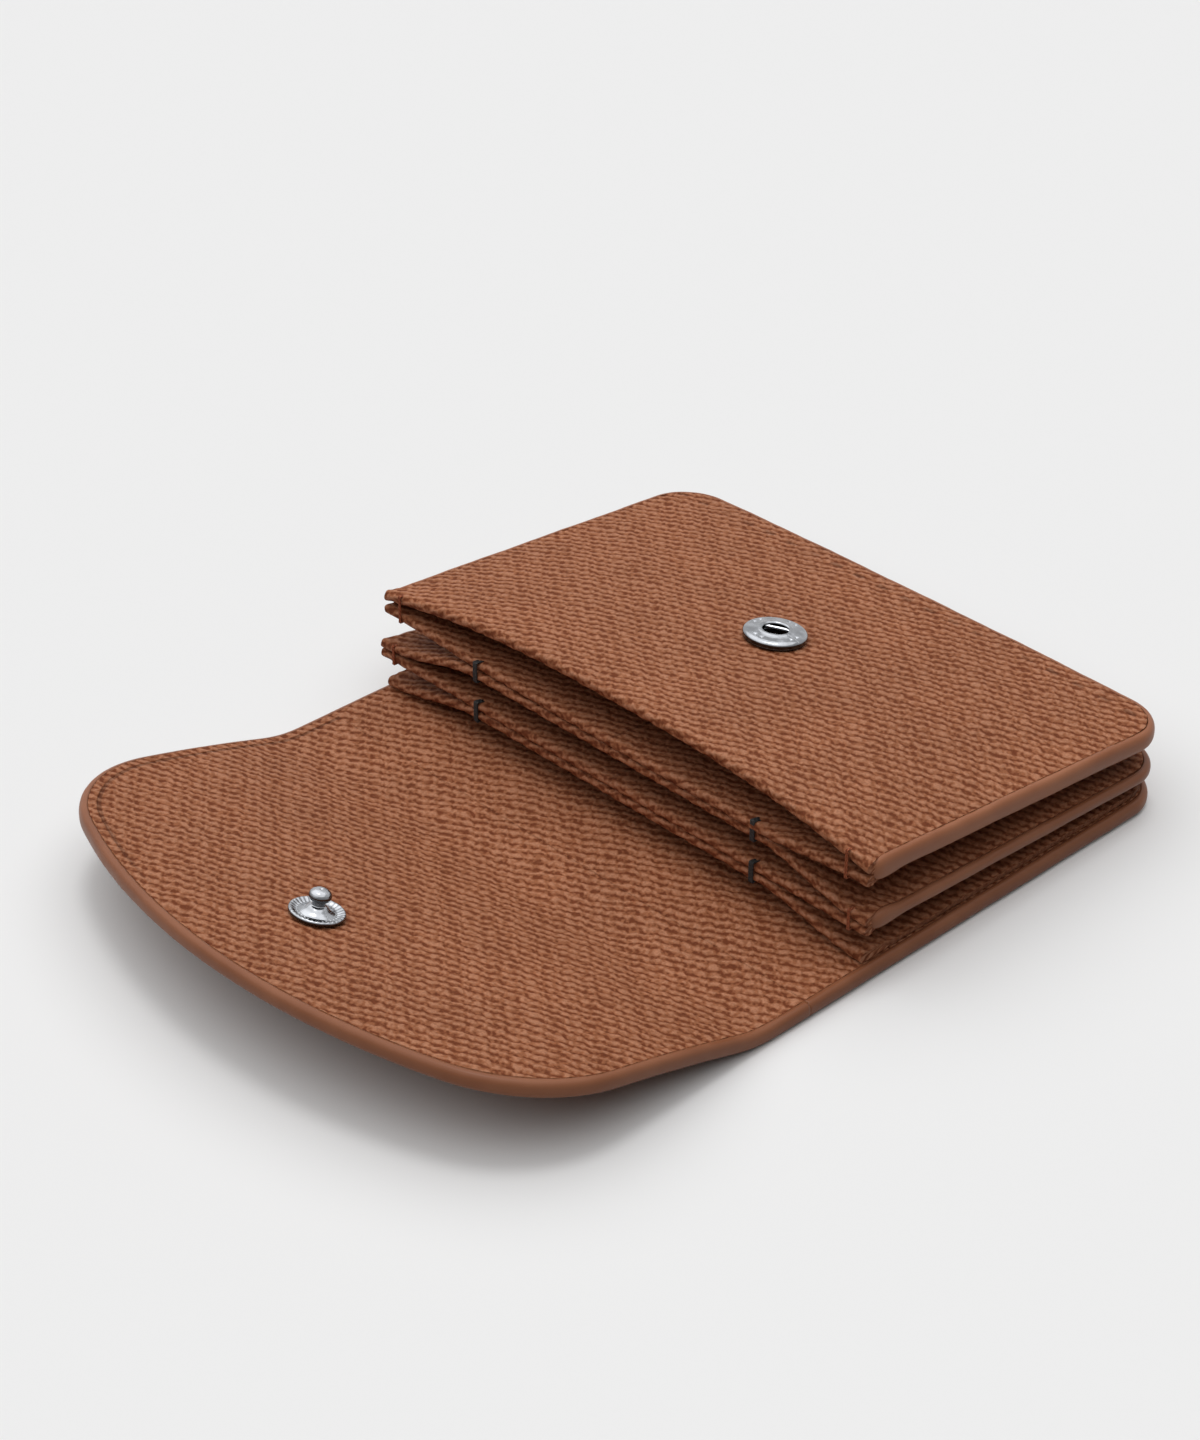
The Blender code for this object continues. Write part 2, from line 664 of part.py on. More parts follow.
def make_socket(outer, lining):
    bore = STUD_HEAD_RADIUS + HEAD_CLEARANCE
    tube = bore + EYELET_WALL
    mouth = STUD_HEAD_RADIUS + MOUTH_CLEARANCE
    floor_top = SEAT_GAP + SOCKET_FLOOR
    floor_hole = tube + SEAT_GAP
    lip_low = SOCKET_HEIGHT - SOCKET_LIP
    cavity = SOCKET_RADIUS - SOCKET_WALL
    dome_shares = ((1.0, 0.36), (0.94, 0.62), (0.78, 0.88), (0.60, 1.0))
    ring = turned("snap_socket", [
        (SOCKET_RADIUS - METAL_GAP, SEAT_GAP),
        *[(SOCKET_RADIUS * out, SOCKET_HEIGHT * up) for out, up in dome_shares],
        (mouth + SOCKET_LIP, SOCKET_HEIGHT - METAL_GAP / 2),
        (mouth, SOCKET_HEIGHT - SOCKET_LIP / 2),
        (mouth + METAL_GAP, lip_low),
        (cavity - SOCKET_LIP, lip_low),
        (cavity, lip_low - SOCKET_LIP),
        (cavity, floor_top),
        (floor_hole, floor_top),
        (floor_hole, SEAT_GAP),
    ])
    metal(at_socket(ring))

    rim_low = floor_top + METAL_GAP
    rim_top = rim_low + EYELET_RIM_THICKNESS
    flange_top = -PANEL_OUTER - SEAT_GAP
    flange_low = flange_top - EYELET_FLANGE_THICKNESS
    eyelet = turned("socket_eyelet", [
        (0.0, flange_low),
        (EYELET_FLANGE_RADIUS, flange_low),
        (EYELET_FLANGE_RADIUS, flange_top),
        (tube, flange_top),
        (tube, rim_low),
        (tube + EYELET_RIM, rim_low),
        (tube + EYELET_RIM, rim_top),
        (bore, rim_top),
        (bore, flange_top),
        (0.0, flange_top),
    ])
    metal(at_socket(eyelet))

    leg_x = STUD_NECK_RADIUS + SPRING_CLEARANCE + SPRING_RADIUS
    spring_z = (rim_top + lip_low) / 2
    turn = np.radians(np.linspace(0.0, 180.0, 9))
    legs = [(leg_x, -SPRING_LEG, spring_z)]
    legs += [(leg_x * math.cos(a), SPRING_LEG / 2 + leg_x * math.sin(a), spring_z) for a in turn]
    legs += [(-leg_x, -SPRING_LEG, spring_z)]
    metal(at_socket(wire("socket_spring", legs, SPRING_RADIUS)))

    length = PANEL_THICKNESS + 2 * CUTTER_OVERRUN
    cut(outer, at_socket(round_cutter("tube_hole_cutter", floor_hole, length)))
    flange_hole = EYELET_FLANGE_RADIUS + SEAT_GAP
    cut(lining, at_socket(round_cutter("flange_hole_cutter", flange_hole, 2 * length)))


def make_stud(lining, board):
    bore = POST_RADIUS + POST_CLEARANCE
    rim_shares = ((1.0, 0.70), (0.95, 0.96), (0.86, 1.0), (0.75, 0.80), (0.63, 0.66))
    hub_shares = ((1.0, 0.66), (0.80, 0.92))
    head_shares = ((0.88, 0.14), (1.0, 0.36), (0.95, 0.62), (0.70, 0.86), (0.36, 0.98))
    head = STUD_HEIGHT - STUD_NECK_HEIGHT
    stud = turned("snap_stud", [
        (0.0, STUD_FLANGE_HEIGHT),
        (bore, STUD_FLANGE_HEIGHT),
        (bore, SEAT_GAP),
        (STUD_FLANGE_RADIUS, SEAT_GAP),
        *[(STUD_FLANGE_RADIUS * out, STUD_FLANGE_HEIGHT * up) for out, up in rim_shares],
        *[(STUD_HUB_RADIUS * out, STUD_HUB_HEIGHT * up) for out, up in hub_shares],
        (STUD_NECK_RADIUS + POST_CLEARANCE, STUD_HUB_HEIGHT),
        (STUD_NECK_RADIUS, STUD_HUB_HEIGHT + POST_CLEARANCE),
        (STUD_NECK_RADIUS, STUD_NECK_HEIGHT),
        *[(STUD_HEAD_RADIUS * out, STUD_NECK_HEIGHT + head * up) for out, up in head_shares],
        (0.0, STUD_HEIGHT),
    ])
    metal(at_stud(stud))

    head_top = -COVER_LINING - SEAT_GAP
    post = turned("stud_post", [
        (0.0, head_top - COVER_BOARD),
        (POST_HEAD_RADIUS, head_top - COVER_BOARD),
        (POST_HEAD_RADIUS, head_top),
        (POST_RADIUS, head_top),
        (POST_RADIUS, STUD_FLANGE_HEIGHT - POST_CLEARANCE),
        (0.0, STUD_FLANGE_HEIGHT - POST_CLEARANCE),
    ])
    metal(at_stud(post))

    length = COVER_THICKNESS + 2 * CUTTER_OVERRUN
    cut(lining, at_stud(round_cutter("post_hole_cutter", POST_RADIUS + SEAT_GAP, length)))
    cut(board, at_stud(round_cutter("head_hole_cutter", POST_HEAD_RADIUS + SEAT_GAP, length)))


# Threads


def tack(name, x, top, bottom, radius, color):
    """A thread over the mouth of two layers: down its front from a leg on each outer face.

    top and bottom give the levels of the faces at a way in from the mouth.
    """
    stand_off = TACK_CLEARANCE + radius
    bow = np.radians(np.linspace(90.0, -90.0, 9))
    high = float(top(0.0)) + stand_off
    low = float(bottom(0.0)) - stand_off
    middle, half = (high + low) / 2, (high - low) / 2
    points = [(x, TACK_REACH, float(top(TACK_REACH)) + stand_off)]
    points += [(x, -stand_off * math.cos(a), middle + half * math.sin(a)) for a in bow]
    points += [(x, TACK_REACH, float(bottom(TACK_REACH)) - stand_off)]
    thread(wire(name, [(px, py - HALF_DEPTH, pz) for px, py, pz in points], radius), color)


def make_tacks():
    corner_x = HALF_WIDTH - CORNER_TACK_INSET
    sides = {"left": -1.0, "right": 1.0}
    for side, sign in sides.items():
        bar_x = sign * (SEAM_X - SEAT_GAP / 2 - BAR_TACK_RADIUS - TACK_CLEARANCE)
        front_x = sign * (corner_x - CORNER_TACK_SPACING)
        middle_x = sign * corner_x

        def face(number, side_of, x):
            return lambda y: leaf_faces(number, x, np.asarray(y))[side_of]

        tack("upper_bar_tack_" + side, bar_x, face(1, 0, bar_x), face(2, 1, bar_x),
             BAR_TACK_RADIUS, BLACK_THREAD)
        tack("lower_bar_tack_" + side, bar_x, face(3, 0, bar_x), face(4, 1, bar_x),
             BAR_TACK_RADIUS, BLACK_THREAD)
        tack("front_corner_tack_" + side, front_x,
             lambda y, x=front_x: front_top(x, y), face(1, 1, front_x),
             CORNER_TACK_RADIUS, BROWN_THREAD)
        tack("middle_corner_tack_" + side, middle_x, face(2, 0, middle_x), face(3, 1, middle_x),
             CORNER_TACK_RADIUS, BROWN_THREAD)


def main():
    clear_scene()
    cover_layers("back", back_outline)
    make_spine()
    flap_lining, flap_board = make_flap()
    for number in (1, 2, 3, 4):
        make_leaf(number)
    front_outer, front_lining = make_front_panel()
    make_edges()
    make_socket(front_outer, front_lining)
    make_stud(flap_lining, flap_board)
    make_tacks()


main()
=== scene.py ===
"""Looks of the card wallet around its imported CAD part.

Each leather part is one closed skin swept from section rings, with the weave pressed into it.
The shapes repeat the part's own formulas, in metres, +Z up, with the pouch mouths facing -Y.
"""

import math

import bpy
import numpy as np
from bpy.props import FloatProperty, FloatVectorProperty, PointerProperty
from bpy.types import Operator, Panel, PropertyGroup
from mathutils import Matrix, Vector


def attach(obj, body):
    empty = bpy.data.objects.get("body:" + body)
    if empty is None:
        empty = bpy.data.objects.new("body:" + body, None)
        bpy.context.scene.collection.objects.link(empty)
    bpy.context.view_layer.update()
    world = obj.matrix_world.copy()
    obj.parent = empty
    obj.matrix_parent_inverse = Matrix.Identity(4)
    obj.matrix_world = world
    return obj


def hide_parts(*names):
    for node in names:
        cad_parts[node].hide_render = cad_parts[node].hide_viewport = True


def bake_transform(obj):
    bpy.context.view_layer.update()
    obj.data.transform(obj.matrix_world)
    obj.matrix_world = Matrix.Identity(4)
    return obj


bl_info = {
    "name": "Card wallet looks",
    "version": (1, 0, 0),
    "blender": (4, 5, 0),
    "location": "3D View > Sidebar > Wallet",
    "description": "Builds the leather, edges, snap, threads and stage of the card wallet",
    "category": "Object",
}

# The wallet's outline and its leather, as the part has them
WALLET_WIDTH = 0.104
WALLET_DEPTH = 0.0684
CORNER_RADIUS = 0.008
SEAT_GAP = 0.0003
COVER_OUTER = 0.0010
COVER_BOARD = 0.0004
COVER_LINING = 0.0008
PANEL_OUTER = 0.0010
PANEL_LINING = 0.0007
LEAF_THICKNESS = 0.0009
LEAF_HEM_THICKNESS = 0.00135
HEM_DEPTH = 0.008
HEM_FULL_DEPTH = 0.0045
EDGE_BEAD = 0.00115
BEAD_FULLNESS = 0.77

# The fan of pouches
MIDDLE_MOUTH = 0.0098
MIDDLE_FAR = 0.00635
FRONT_MOUTH = 0.0177
FRONT_FAR = 0.0118
MIDDLE_POCKET = 0.0003
SEAM_DROP = 0.0005
SEAM_INSET = 0.0220
MOUTH_CROWN = 0.0040
SOCKET_CROWN = 0.0027
FAR_CROWN = 0.0007
DOME_POWER = 3
MOUTH_BOW = 0.0012
MOUTH_BOW_DEPTH = 0.0200

# The cover's folds and the flap's outline, as arc lengths from the pouch mouths
SPINE_FOLD = 0.0014
FLAP_FOLD = 0.02101
SPINE_MIDDLE = 0.0112
BEND_CENTRE = 0.0211
BEND_HALF = 0.0050
FLAP_RISE_ANGLE = 0.318
FLAP_SAG_ANGLE = 0.157
FLAP_TIP = 0.0760
FLAP_FRONT_RADIUS = 0.1005
FLAP_CORNER_RADIUS = 0.0220

# The snap
STUD_REACH = 0.0570
SOCKET_REACH = 0.0351
STUD_FLANGE_RADIUS = 0.0041
STUD_FLANGE_HEIGHT = 0.0011
STUD_HUB_HEIGHT = 0.00145
STUD_HUB_RADIUS = 0.0021
STUD_NECK_RADIUS = 0.00095
STUD_NECK_HEIGHT = 0.0025
STUD_HEAD_RADIUS = 0.00165
STUD_HEIGHT = 0.0041
SOCKET_RADIUS = 0.00505
SOCKET_HEIGHT = 0.0018
SOCKET_LIP = 0.0004
SOCKET_WALL = 0.0015
HEAD_CLEARANCE = 0.00035
MOUTH_CLEARANCE = 0.0004
SPRING_RADIUS = 0.00022
SPRING_CLEARANCE = 0.00028
SPRING_LEG = 0.0022
EYELET_WALL = 0.0004
SPRING_TURN = math.radians(-60.0)

# The snap's small forms: outlines are shares of a radius and a height
PIT_RADIUS = 0.0017
PIT_SLOPE = 0.0007
PIT_DEPTH = 0.0009
CALM_RING = 0.0002
CALM_FADE = 0.0006
METAL_FOOT = 0.0003
METAL_STEP = 0.0001
SOCKET_OUTLINE = (
    (0.97, 0.30), (1.0, 0.50), (0.995, 0.62), (0.965, 0.72), (0.92, 0.79), (0.86, 0.83), (0.76, 0.86),
    (0.66, 0.885), (0.57, 0.93), (0.52, 0.985), (0.48, 1.0), (0.44, 0.98),
)
SOCKET_MOUTH_HEIGHT = 0.88
CAVITY_SHOULDER = 0.0004
CAVITY_FLOOR = 0.001
DIMPLE_CIRCLE = 0.77
DIMPLE_TURN = 0.17
DIMPLE_SPREAD = 0.00024
DIMPLE_DEPTH = 0.00018
DIMPLE_ABOVE = 0.0012
EYELET_FLANGE = 0.0009
EYELET_FLANGE_LOW = 0.0007
EYELET_FLANGE_HIGH = 0.0009
EYELET_THROAT = 0.0002
EYELET_FLOOR = -0.00082
EYELET_BASE = -0.00089
EYELET_FOOT = 0.0006
SPRING_HEIGHT = 0.00118
STUD_RIM_OUTLINE = (
    (0.99, 0.40), (1.0, 0.58), (0.985, 0.76), (0.95, 0.86), (0.90, 0.86), (0.84, 0.74), (0.77, 0.60),
    (0.70, 0.54), (0.62, 0.56),
)
STUD_HUB_OUTLINE = ((1.02, 0.56), (0.86, 0.72), (0.72, 0.92), (0.60, 1.06))
STUD_HEAD_OUTLINE = (
    (0.86, 0.02), (0.95, 0.14), (1.0, 0.32), (0.985, 0.50), (0.91, 0.68), (0.76, 0.83), (0.54, 0.94),
    (0.30, 0.99), (0.16, 0.985), (0.10, 0.93), (0.02, 0.92),
)
STUD_BORE = 0.0014
STUD_FOOT_REACH = 0.95
STUD_NECK_FOOT = 0.00168
AXIS_GAP = 0.00002
FLUTES = 32
FLUTE_DEPTH = 0.00007
FLUTE_FROM = 0.0027
FLUTE_TO = 0.0038
FLUTE_FADE = 0.0002
FLUTE_ABOVE = 0.0004

# Threads
TACK_RADIUS = 0.00025
TACK_CLEARANCE = 0.0001
TACK_REACH = 0.0028
CORNER_TACK_INSET = 0.0034
CORNER_TACK_SPACING = 0.0008
# A tack's thread: strands, their spacing and radius, and how far they stand off the leather
BAR_THREAD = (4, 0.00021, 0.00014, 0.00006)
CORNER_THREAD = (2, 0.00026, 0.00013, -0.00005)
STRAND_LEAN = 0.00012
STRAND_TUCK = 0.0005
STRAND_REACH = 0.62
STRAND_REACH_CHANGE = 0.10
STRAND_SIDES = 10

HALF_WIDTH = WALLET_WIDTH / 2
HALF_DEPTH = WALLET_DEPTH / 2
COVER_THICKNESS = COVER_OUTER + COVER_BOARD + COVER_LINING + 2 * SEAT_GAP
PANEL_THICKNESS = PANEL_OUTER + PANEL_LINING + SEAT_GAP
REAR_SEAT = COVER_THICKNESS + SEAT_GAP
SEAM_X = HALF_WIDTH - SEAM_INSET
GUSSET_REACH = HALF_WIDTH - EDGE_BEAD - SEAT_GAP - SEAM_X

# How the soft pouches settle: shifts at the mouth, lifts at the seams and fuller hems
FRONT_TWIST = 0.00045
FRONT_SKEW = 0.0006
MIDDLE_PROUD = 0.0004
MIDDLE_PROUD_DEPTH = 0.02
UPPER_LIFT = -0.0006
LOWER_LIFT = -0.0002
HEM_FULLNESS = 0.0003
HEM_SWELL_FROM = 0.003
HEM_SWELL_LENGTH = 0.004
CORNER_SWELL = 0.00085
CORNER_SWELL_FROM = 0.0440
CORNER_SWELL_START = 0.0007
CORNER_SWELL_LENGTH = 0.0034
SOCKET_SINK = 0.00015
SOCKET_DIMPLE = 0.009
STUD_LEAN = math.radians(3.5)
STUD_LEAN_TOWARD = math.radians(70.0)
STUD_LEAN_SPREAD = 0.0065

# The painted edges: where a pouch's edge starts, how it rounds off there, and how far it lies lower
EDGE_START = 0.0017
EDGE_ROUNDING = 0.0020
EDGE_END_FULLNESS = 0.30
EDGE_DROP = 0.00010
EDGE_UNEVEN = 0.00003
TOP_PHASE = 0.3
COVER_EDGE_UNEVEN = 0.015
# Their slow unevenness: radians per metre, share and phase of each wave
UNEVEN_WAVES = ((310.0, 1.0, 0.0), (770.0, 0.6, 1.0), (1730.0, 0.4, 2.0))

# Half the length of leather that bends at each fold
SPINE_BLEND = 0.0012
FLAP_BLEND = 0.0030

# How finely the skins are meshed
FINE = 0.00043
MEDIUM = 0.0007
COARSE = 0.0016
SKIN_GAP = 0.00004
SKIN_INSET = EDGE_BEAD + SKIN_GAP
PROFILE_POINTS = 800
SLOPE_STEP = 0.0001
NOSE_POINTS = 9
HEM_STEP = 0.0005
BACK_START = 0.0002
BACK_ROWS = 14
LINING_START = 0.0005
LINING_ROWS = 40
MOUTH_ZONE = 0.016
COARSE_SHARE = 0.35
COARSE_REACH = 0.75
BEAD_POINTS = 19
OFF_AXIS = (0.577, 0.211, 0.789)

# The weave's waves: cycles per metre across and along the wallet, share of the relief, and phase
WEAVE_WAVES = (
    (250.0, -520.0, 1.00, 0.0),
    (425.0, 520.0, 0.30, 1.1),
    (670.0, 0.0, 0.26, 2.3),
    (227.0, 400.0, 0.14, 4.0),
    (400.0, 1050.0, 0.24, 0.7),
    (1080.0, 470.0, 0.20, 5.2),
    (760.0, -1120.0, 0.22, 3.4),
)
# The mesh takes the first of them, up to this sum, and the shader adds the finer ones
MESH_WAVES = 4
MESH_WAVE_SUM = 1.7
# The slow wander of its rows: cycles per metre, distance in metres and phase
WANDER_WAVES = (
    (38.0, 61.0, 0.00022, 0.3),
    (-83.0, 47.0, 0.00016, 2.1),
    (131.0, -97.0, 0.00014, 4.4),
    (190.0, 223.0, 0.00013, 1.3),
    (-271.0, 310.0, 0.00011, 5.6),
    (437.0, -190.0, 0.00007, 3.1),
)

# Scales of the materials' noise, in cycles per metre
CLUMP_SCALE = 1300.0
GRAIN_SCALE = 3200.0
BLOTCH_SCALE = 70.0
WOBBLE_SCALE = 160.0
PAINT_WAVE_SCALE = 90.0
PAINT_GRAIN_SCALE = 1500.0
SMUDGE_AND_REFLECTION_SCALE = 700.0
TURNING_SCALE = 5000.0
FUZZ_SCALE = 4000.0
FIBRE_SCALE = 1800.0

# Spans of a mask over which the materials change, some with the two tones that they change between
CLUMP_SHARE = 3.4
RELIEF_SPAN = (-2.0, 2.0)
# Painted shade in the weave's recesses and painted light on its tops, as spans of its relief
PAINTED_RECESS_SHADE_SPAN = (0.08, 0.46)
PAINTED_TOP_LIGHT_SPAN = (0.45, 0.98)
BLOTCH_TONES = (0.2, 0.8, 0.93, 1.07)
GRAIN_TONES = (0.25, 0.75, 0.82, 1.18)
GROOVE_FADE_TONES = (1.0, 0.2)
DASH_TONES = (-0.2, 0.6, 0.1, 1.0)
DASH_BLOTCH_TONES = (0.35, 0.6, 0.35, 1.0)
# Painted shade in the seam's groove and along its dashes
GROOVE_SHADE_TONE = 0.66
DASH_SHADE_TONE = 0.62
RUBBED_SPAN = (0.35, 0.75)
# Painted reflection on the snap: the noise's span, and its darker and paler tones
PAINTED_REFLECTION_SPAN = (0.3, 0.7)
PAINTED_REFLECTION_DARK = 0.8
PAINTED_REFLECTION_PALE = 1.14
# Painted shade on the snap: facing values, and the tones from steep places to those that face up
PAINTED_FACING_SHADE_TONES = (-0.1, 0.95, 0.22, 1.16)

# Heights that the materials add as bumps, and lengths of their marks
GRAIN_HEIGHT = 0.00003
FINER_RELIEF = 0.00009
WHOLE_RELIEF = 0.00017
GROOVE_CORE = 0.00008
GROOVE_HALF = 0.00042
GROOVE_WOBBLE = 0.0003
GROOVE_FULL_X = -0.036
GROOVE_FAINT_X = -0.012
DASH_WAY = 1.5
DASH_HALF = 0.0010
DASH_LENGTH = 0.0050
DASH_DEPTH = 0.3
PAINT_WAVE = 0.00020
PAINT_GRAIN = 0.000006
TURNING_MARK = 0.000004
TWIST_LENGTH = 0.0007
STRAND_HEIGHT = 0.00005
FIBRE_HEIGHT = 0.00003

# The stage: the camera's turn about Z, height angle, roll, aim and distance, and where the light comes from
CAMERA_AZIMUTH = math.radians(46.320)
CAMERA_ELEVATION = math.radians(32.481)
CAMERA_ROLL = math.radians(0.128)
CAMERA_AIM = (-0.071025, 0.066067 - HALF_DEPTH, -0.041667)
CAMERA_DISTANCE = 0.583984
CAMERA_LENS = 80.0
CAMERA_SENSOR = 36.0
FLOOR_DROP = 0.00005
WIDE_FROM = (-0.15, -0.10, 1.0)
NARROW_FROM = (-0.08, 0.10, 1.0)

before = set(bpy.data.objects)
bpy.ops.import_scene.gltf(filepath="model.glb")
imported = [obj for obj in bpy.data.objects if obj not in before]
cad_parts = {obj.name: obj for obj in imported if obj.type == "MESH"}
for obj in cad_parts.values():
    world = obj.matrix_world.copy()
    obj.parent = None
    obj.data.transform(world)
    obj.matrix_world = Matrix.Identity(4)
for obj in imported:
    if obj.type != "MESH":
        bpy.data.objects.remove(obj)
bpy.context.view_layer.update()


def linear(red, green, blue):
    """A colour written as 0 to 255 on a screen, as linear light."""
    out = []
    for value in (red / 255.0, green / 255.0, blue / 255.0):
        out.append(value / 12.92 if value <= 0.04045 else ((value + 0.055) / 1.055) ** 2.4)
    return tuple(out)


class LeatherLook(PropertyGroup):
    """Relief, colour and sheen of the leather."""

    relief: FloatProperty(name="Relief", description="Depth of the pressed weave",
                          default=0.00014, subtype="DISTANCE", unit="LENGTH")
    groove: FloatProperty(name="Groove", description="Way from the edge to the turned seam's groove",
                          default=0.0028, subtype="DISTANCE", unit="LENGTH")
    groove_depth: FloatProperty(name="Groove depth", description="Depth of the turned seam's groove",
                                default=0.00022, subtype="DISTANCE", unit="LENGTH")
    roughness: FloatProperty(name="Roughness", description="Roughness of the leather", default=0.68)
    # The recess colour is painted shade between the weave's rows, and the bump colour is painted light on
    # their tops
    recess_and_painted_shade: FloatVectorProperty(name="Recess", description="Colour between the rows",
                                subtype="COLOR", default=linear(107, 55, 31))
    middle: FloatVectorProperty(name="Middle", description="Colour of the rows' sides",
                                subtype="COLOR", default=linear(145, 90, 60))
    bump: FloatVectorProperty(name="Bump", description="Colour of the rows' tops",
                              subtype="COLOR", default=linear(171, 117, 88))


class EdgeLook(PropertyGroup):
    """Colour and sheen of the painted edges."""

    colour: FloatVectorProperty(name="Colour", description="Colour of the edge paint",
                                subtype="COLOR", default=linear(133, 82, 55))
    worn: FloatVectorProperty(name="Worn", description="Colour where the paint is rubbed",
                              subtype="COLOR", default=linear(146, 95, 68))
    roughness: FloatProperty(name="Roughness", description="Roughness of the edge paint", default=0.38)


class MetalLook(PropertyGroup):
    """Colour and sheen of the snap."""

    colour: FloatVectorProperty(name="Colour", description="Colour of the plating",
                                subtype="COLOR", default=(0.33, 0.34, 0.36))
    roughness: FloatProperty(name="Roughness", description="Roughness of the plating", default=0.18)


class ThreadLook(PropertyGroup):
    """Colours of the threads."""

    bar: FloatVectorProperty(name="Bar tacks", description="Colour of the bar tacks' thread",
                             subtype="COLOR", default=linear(26, 24, 24))
    corner: FloatVectorProperty(name="Corner tacks", description="Colour of the corner tacks' thread",
                                subtype="COLOR", default=linear(140, 70, 34))


class StageLook(PropertyGroup):
    """Camera, floor and light."""

    floor: FloatProperty(name="Floor", description="Lightness of the floor and the background", default=0.855)
    bounce: FloatProperty(name="Bounce", description="Lightness of the floor as it lights the object",
                          default=0.42)
    dome: FloatProperty(name="Dome", description="Strength of the sky dome", default=0.083)
    wide: FloatProperty(name="Wide lamp", description="Strength of the wide overhead light", default=2.40)
    wide_angle: FloatProperty(name="Wide angle", description="Width of the wide light in degrees",
                              default=108.0)
    narrow: FloatProperty(name="Narrow lamp", description="Strength of the narrow overhead light",
                          default=0.515)
    narrow_angle: FloatProperty(name="Narrow angle", description="Width of the narrow light in degrees",
                                default=16.0)
    floor_size: FloatProperty(name="Floor size", description="Side of the floor",
                              default=8.0, subtype="DISTANCE", unit="LENGTH")


# Shapes of the part


def smooth(share):
    """Smooth step from 0 to 1: share * share * (3 - 2 * share)."""
    share = np.clip(share, 0.0, 1.0)
    return share * share * (3.0 - 2.0 * share)


def cover_profile():
    """Arc length, place along Y, height and slope of the cover lining's upper face.

    The slope rises in a smooth step over the bend and sags evenly from there to the tip. The place is the
    running sum of cos(slope), and the height that of sin(slope), times the step.
    """
    arc = np.linspace(0.0, FLAP_TIP, PROFILE_POINTS)
    bend_end = BEND_CENTRE + BEND_HALF
    slope = FLAP_RISE_ANGLE * smooth((arc - BEND_CENTRE + BEND_HALF) / (2 * BEND_HALF))
    slope = slope - FLAP_SAG_ANGLE * np.clip((arc - bend_end) / (FLAP_TIP - bend_end), 0.0, 1.0)
    step = np.diff(arc)
    middle = (slope[1:] + slope[:-1]) / 2
    y = -HALF_DEPTH - np.concatenate([[0.0], np.cumsum(np.cos(middle) * step)])
    z = COVER_THICKNESS + np.concatenate([[0.0], np.cumsum(np.sin(middle) * step)])
    return arc, y, z, slope


COVER_ARC, COVER_Y, COVER_Z, COVER_SLOPE = cover_profile()


def cover_slope(arc):
    """Slope of the cover at an arc length, read from its profile."""
    return np.interp(arc, COVER_ARC, COVER_SLOPE)


def cover_point(x, arc, depth):
    """Points of the cover at a depth below its lining's upper face, square to it."""
    x, arc, depth = np.broadcast_arrays(x, arc, depth)
    slope = cover_slope(arc)
    y = np.interp(arc, COVER_ARC, COVER_Y) - np.minimum(arc, 0.0)
    z = np.interp(arc, COVER_ARC, COVER_Z)
    return np.stack([x, y - depth * np.sin(slope), z - depth * np.cos(slope)], axis=-1)


def between(mouth, far, y):
    """A value that runs straight from the mouth to the far end: mouth + (far - mouth) * y / depth."""
    return mouth + (far - mouth) * y / WALLET_DEPTH


def leaf_thickness(y):
    """A leaf is double along its hem and thins out where the turned-in leather ends."""
    thin = smooth((y - HEM_FULL_DEPTH) / (HEM_DEPTH - HEM_FULL_DEPTH))
    return LEAF_HEM_THICKNESS + (LEAF_THICKNESS - LEAF_HEM_THICKNESS) * thin


def middle_level(y):
    """Height of the middle pouch's mid plane at each way in."""
    return between(MIDDLE_MOUTH, MIDDLE_FAR, y)


def middle_base(y):
    """Underside of the middle pouch's lower leaf: half its pocket and one leaf below the mid plane."""
    return middle_level(y) - MIDDLE_POCKET / 2 - leaf_thickness(y)


def middle_top(y):
    """Upper face of the middle pouch's upper leaf: half its pocket and one leaf above the mid plane."""
    return middle_level(y) + MIDDLE_POCKET / 2 + leaf_thickness(y)


def front_seat(y):
    """Height of the leaf's face that the front panel is glued to."""
    return between(FRONT_MOUTH, FRONT_FAR, y)


def front_base(y):
    """Underside of the front pouch's leaf."""
    return front_seat(y) - leaf_thickness(y)


def upper_seam(y):
    """Height of the upper leaf pair's seam, which lies lower than its edges near the mouth."""
    return front_seat(y) - between(SEAM_DROP, 0.0, y)


def crown(y):
    """Height of the front panel's dome along its middle.

    The parabola mouth + a * y + b * y * y through its heights at the mouth, the socket and the far end.
    """
    near = (SOCKET_CROWN - MOUTH_CROWN) / SOCKET_REACH
    far = (FAR_CROWN - MOUTH_CROWN) / WALLET_DEPTH
    bend = (near - far) / (SOCKET_REACH - WALLET_DEPTH)
    return MOUTH_CROWN + (near - bend * SOCKET_REACH) * y + bend * y * y


def front_top(x, y):
    """Upper face of the front panel: seat + gap + panel + (1 - |x / half width|**3) * crown(y)."""
    dome = (1.0 - np.abs(x / HALF_WIDTH) ** DOME_POWER) * crown(y)
    return front_seat(y) + SEAT_GAP + PANEL_THICKNESS + dome


def mouth_bow(x, y):
    """How far the front panel's mouth draws back from the straight line between its corners."""
    return MOUTH_BOW * (1.0 - (x / HALF_WIDTH) ** 2) * (1.0 - smooth(y / MOUTH_BOW_DEPTH))


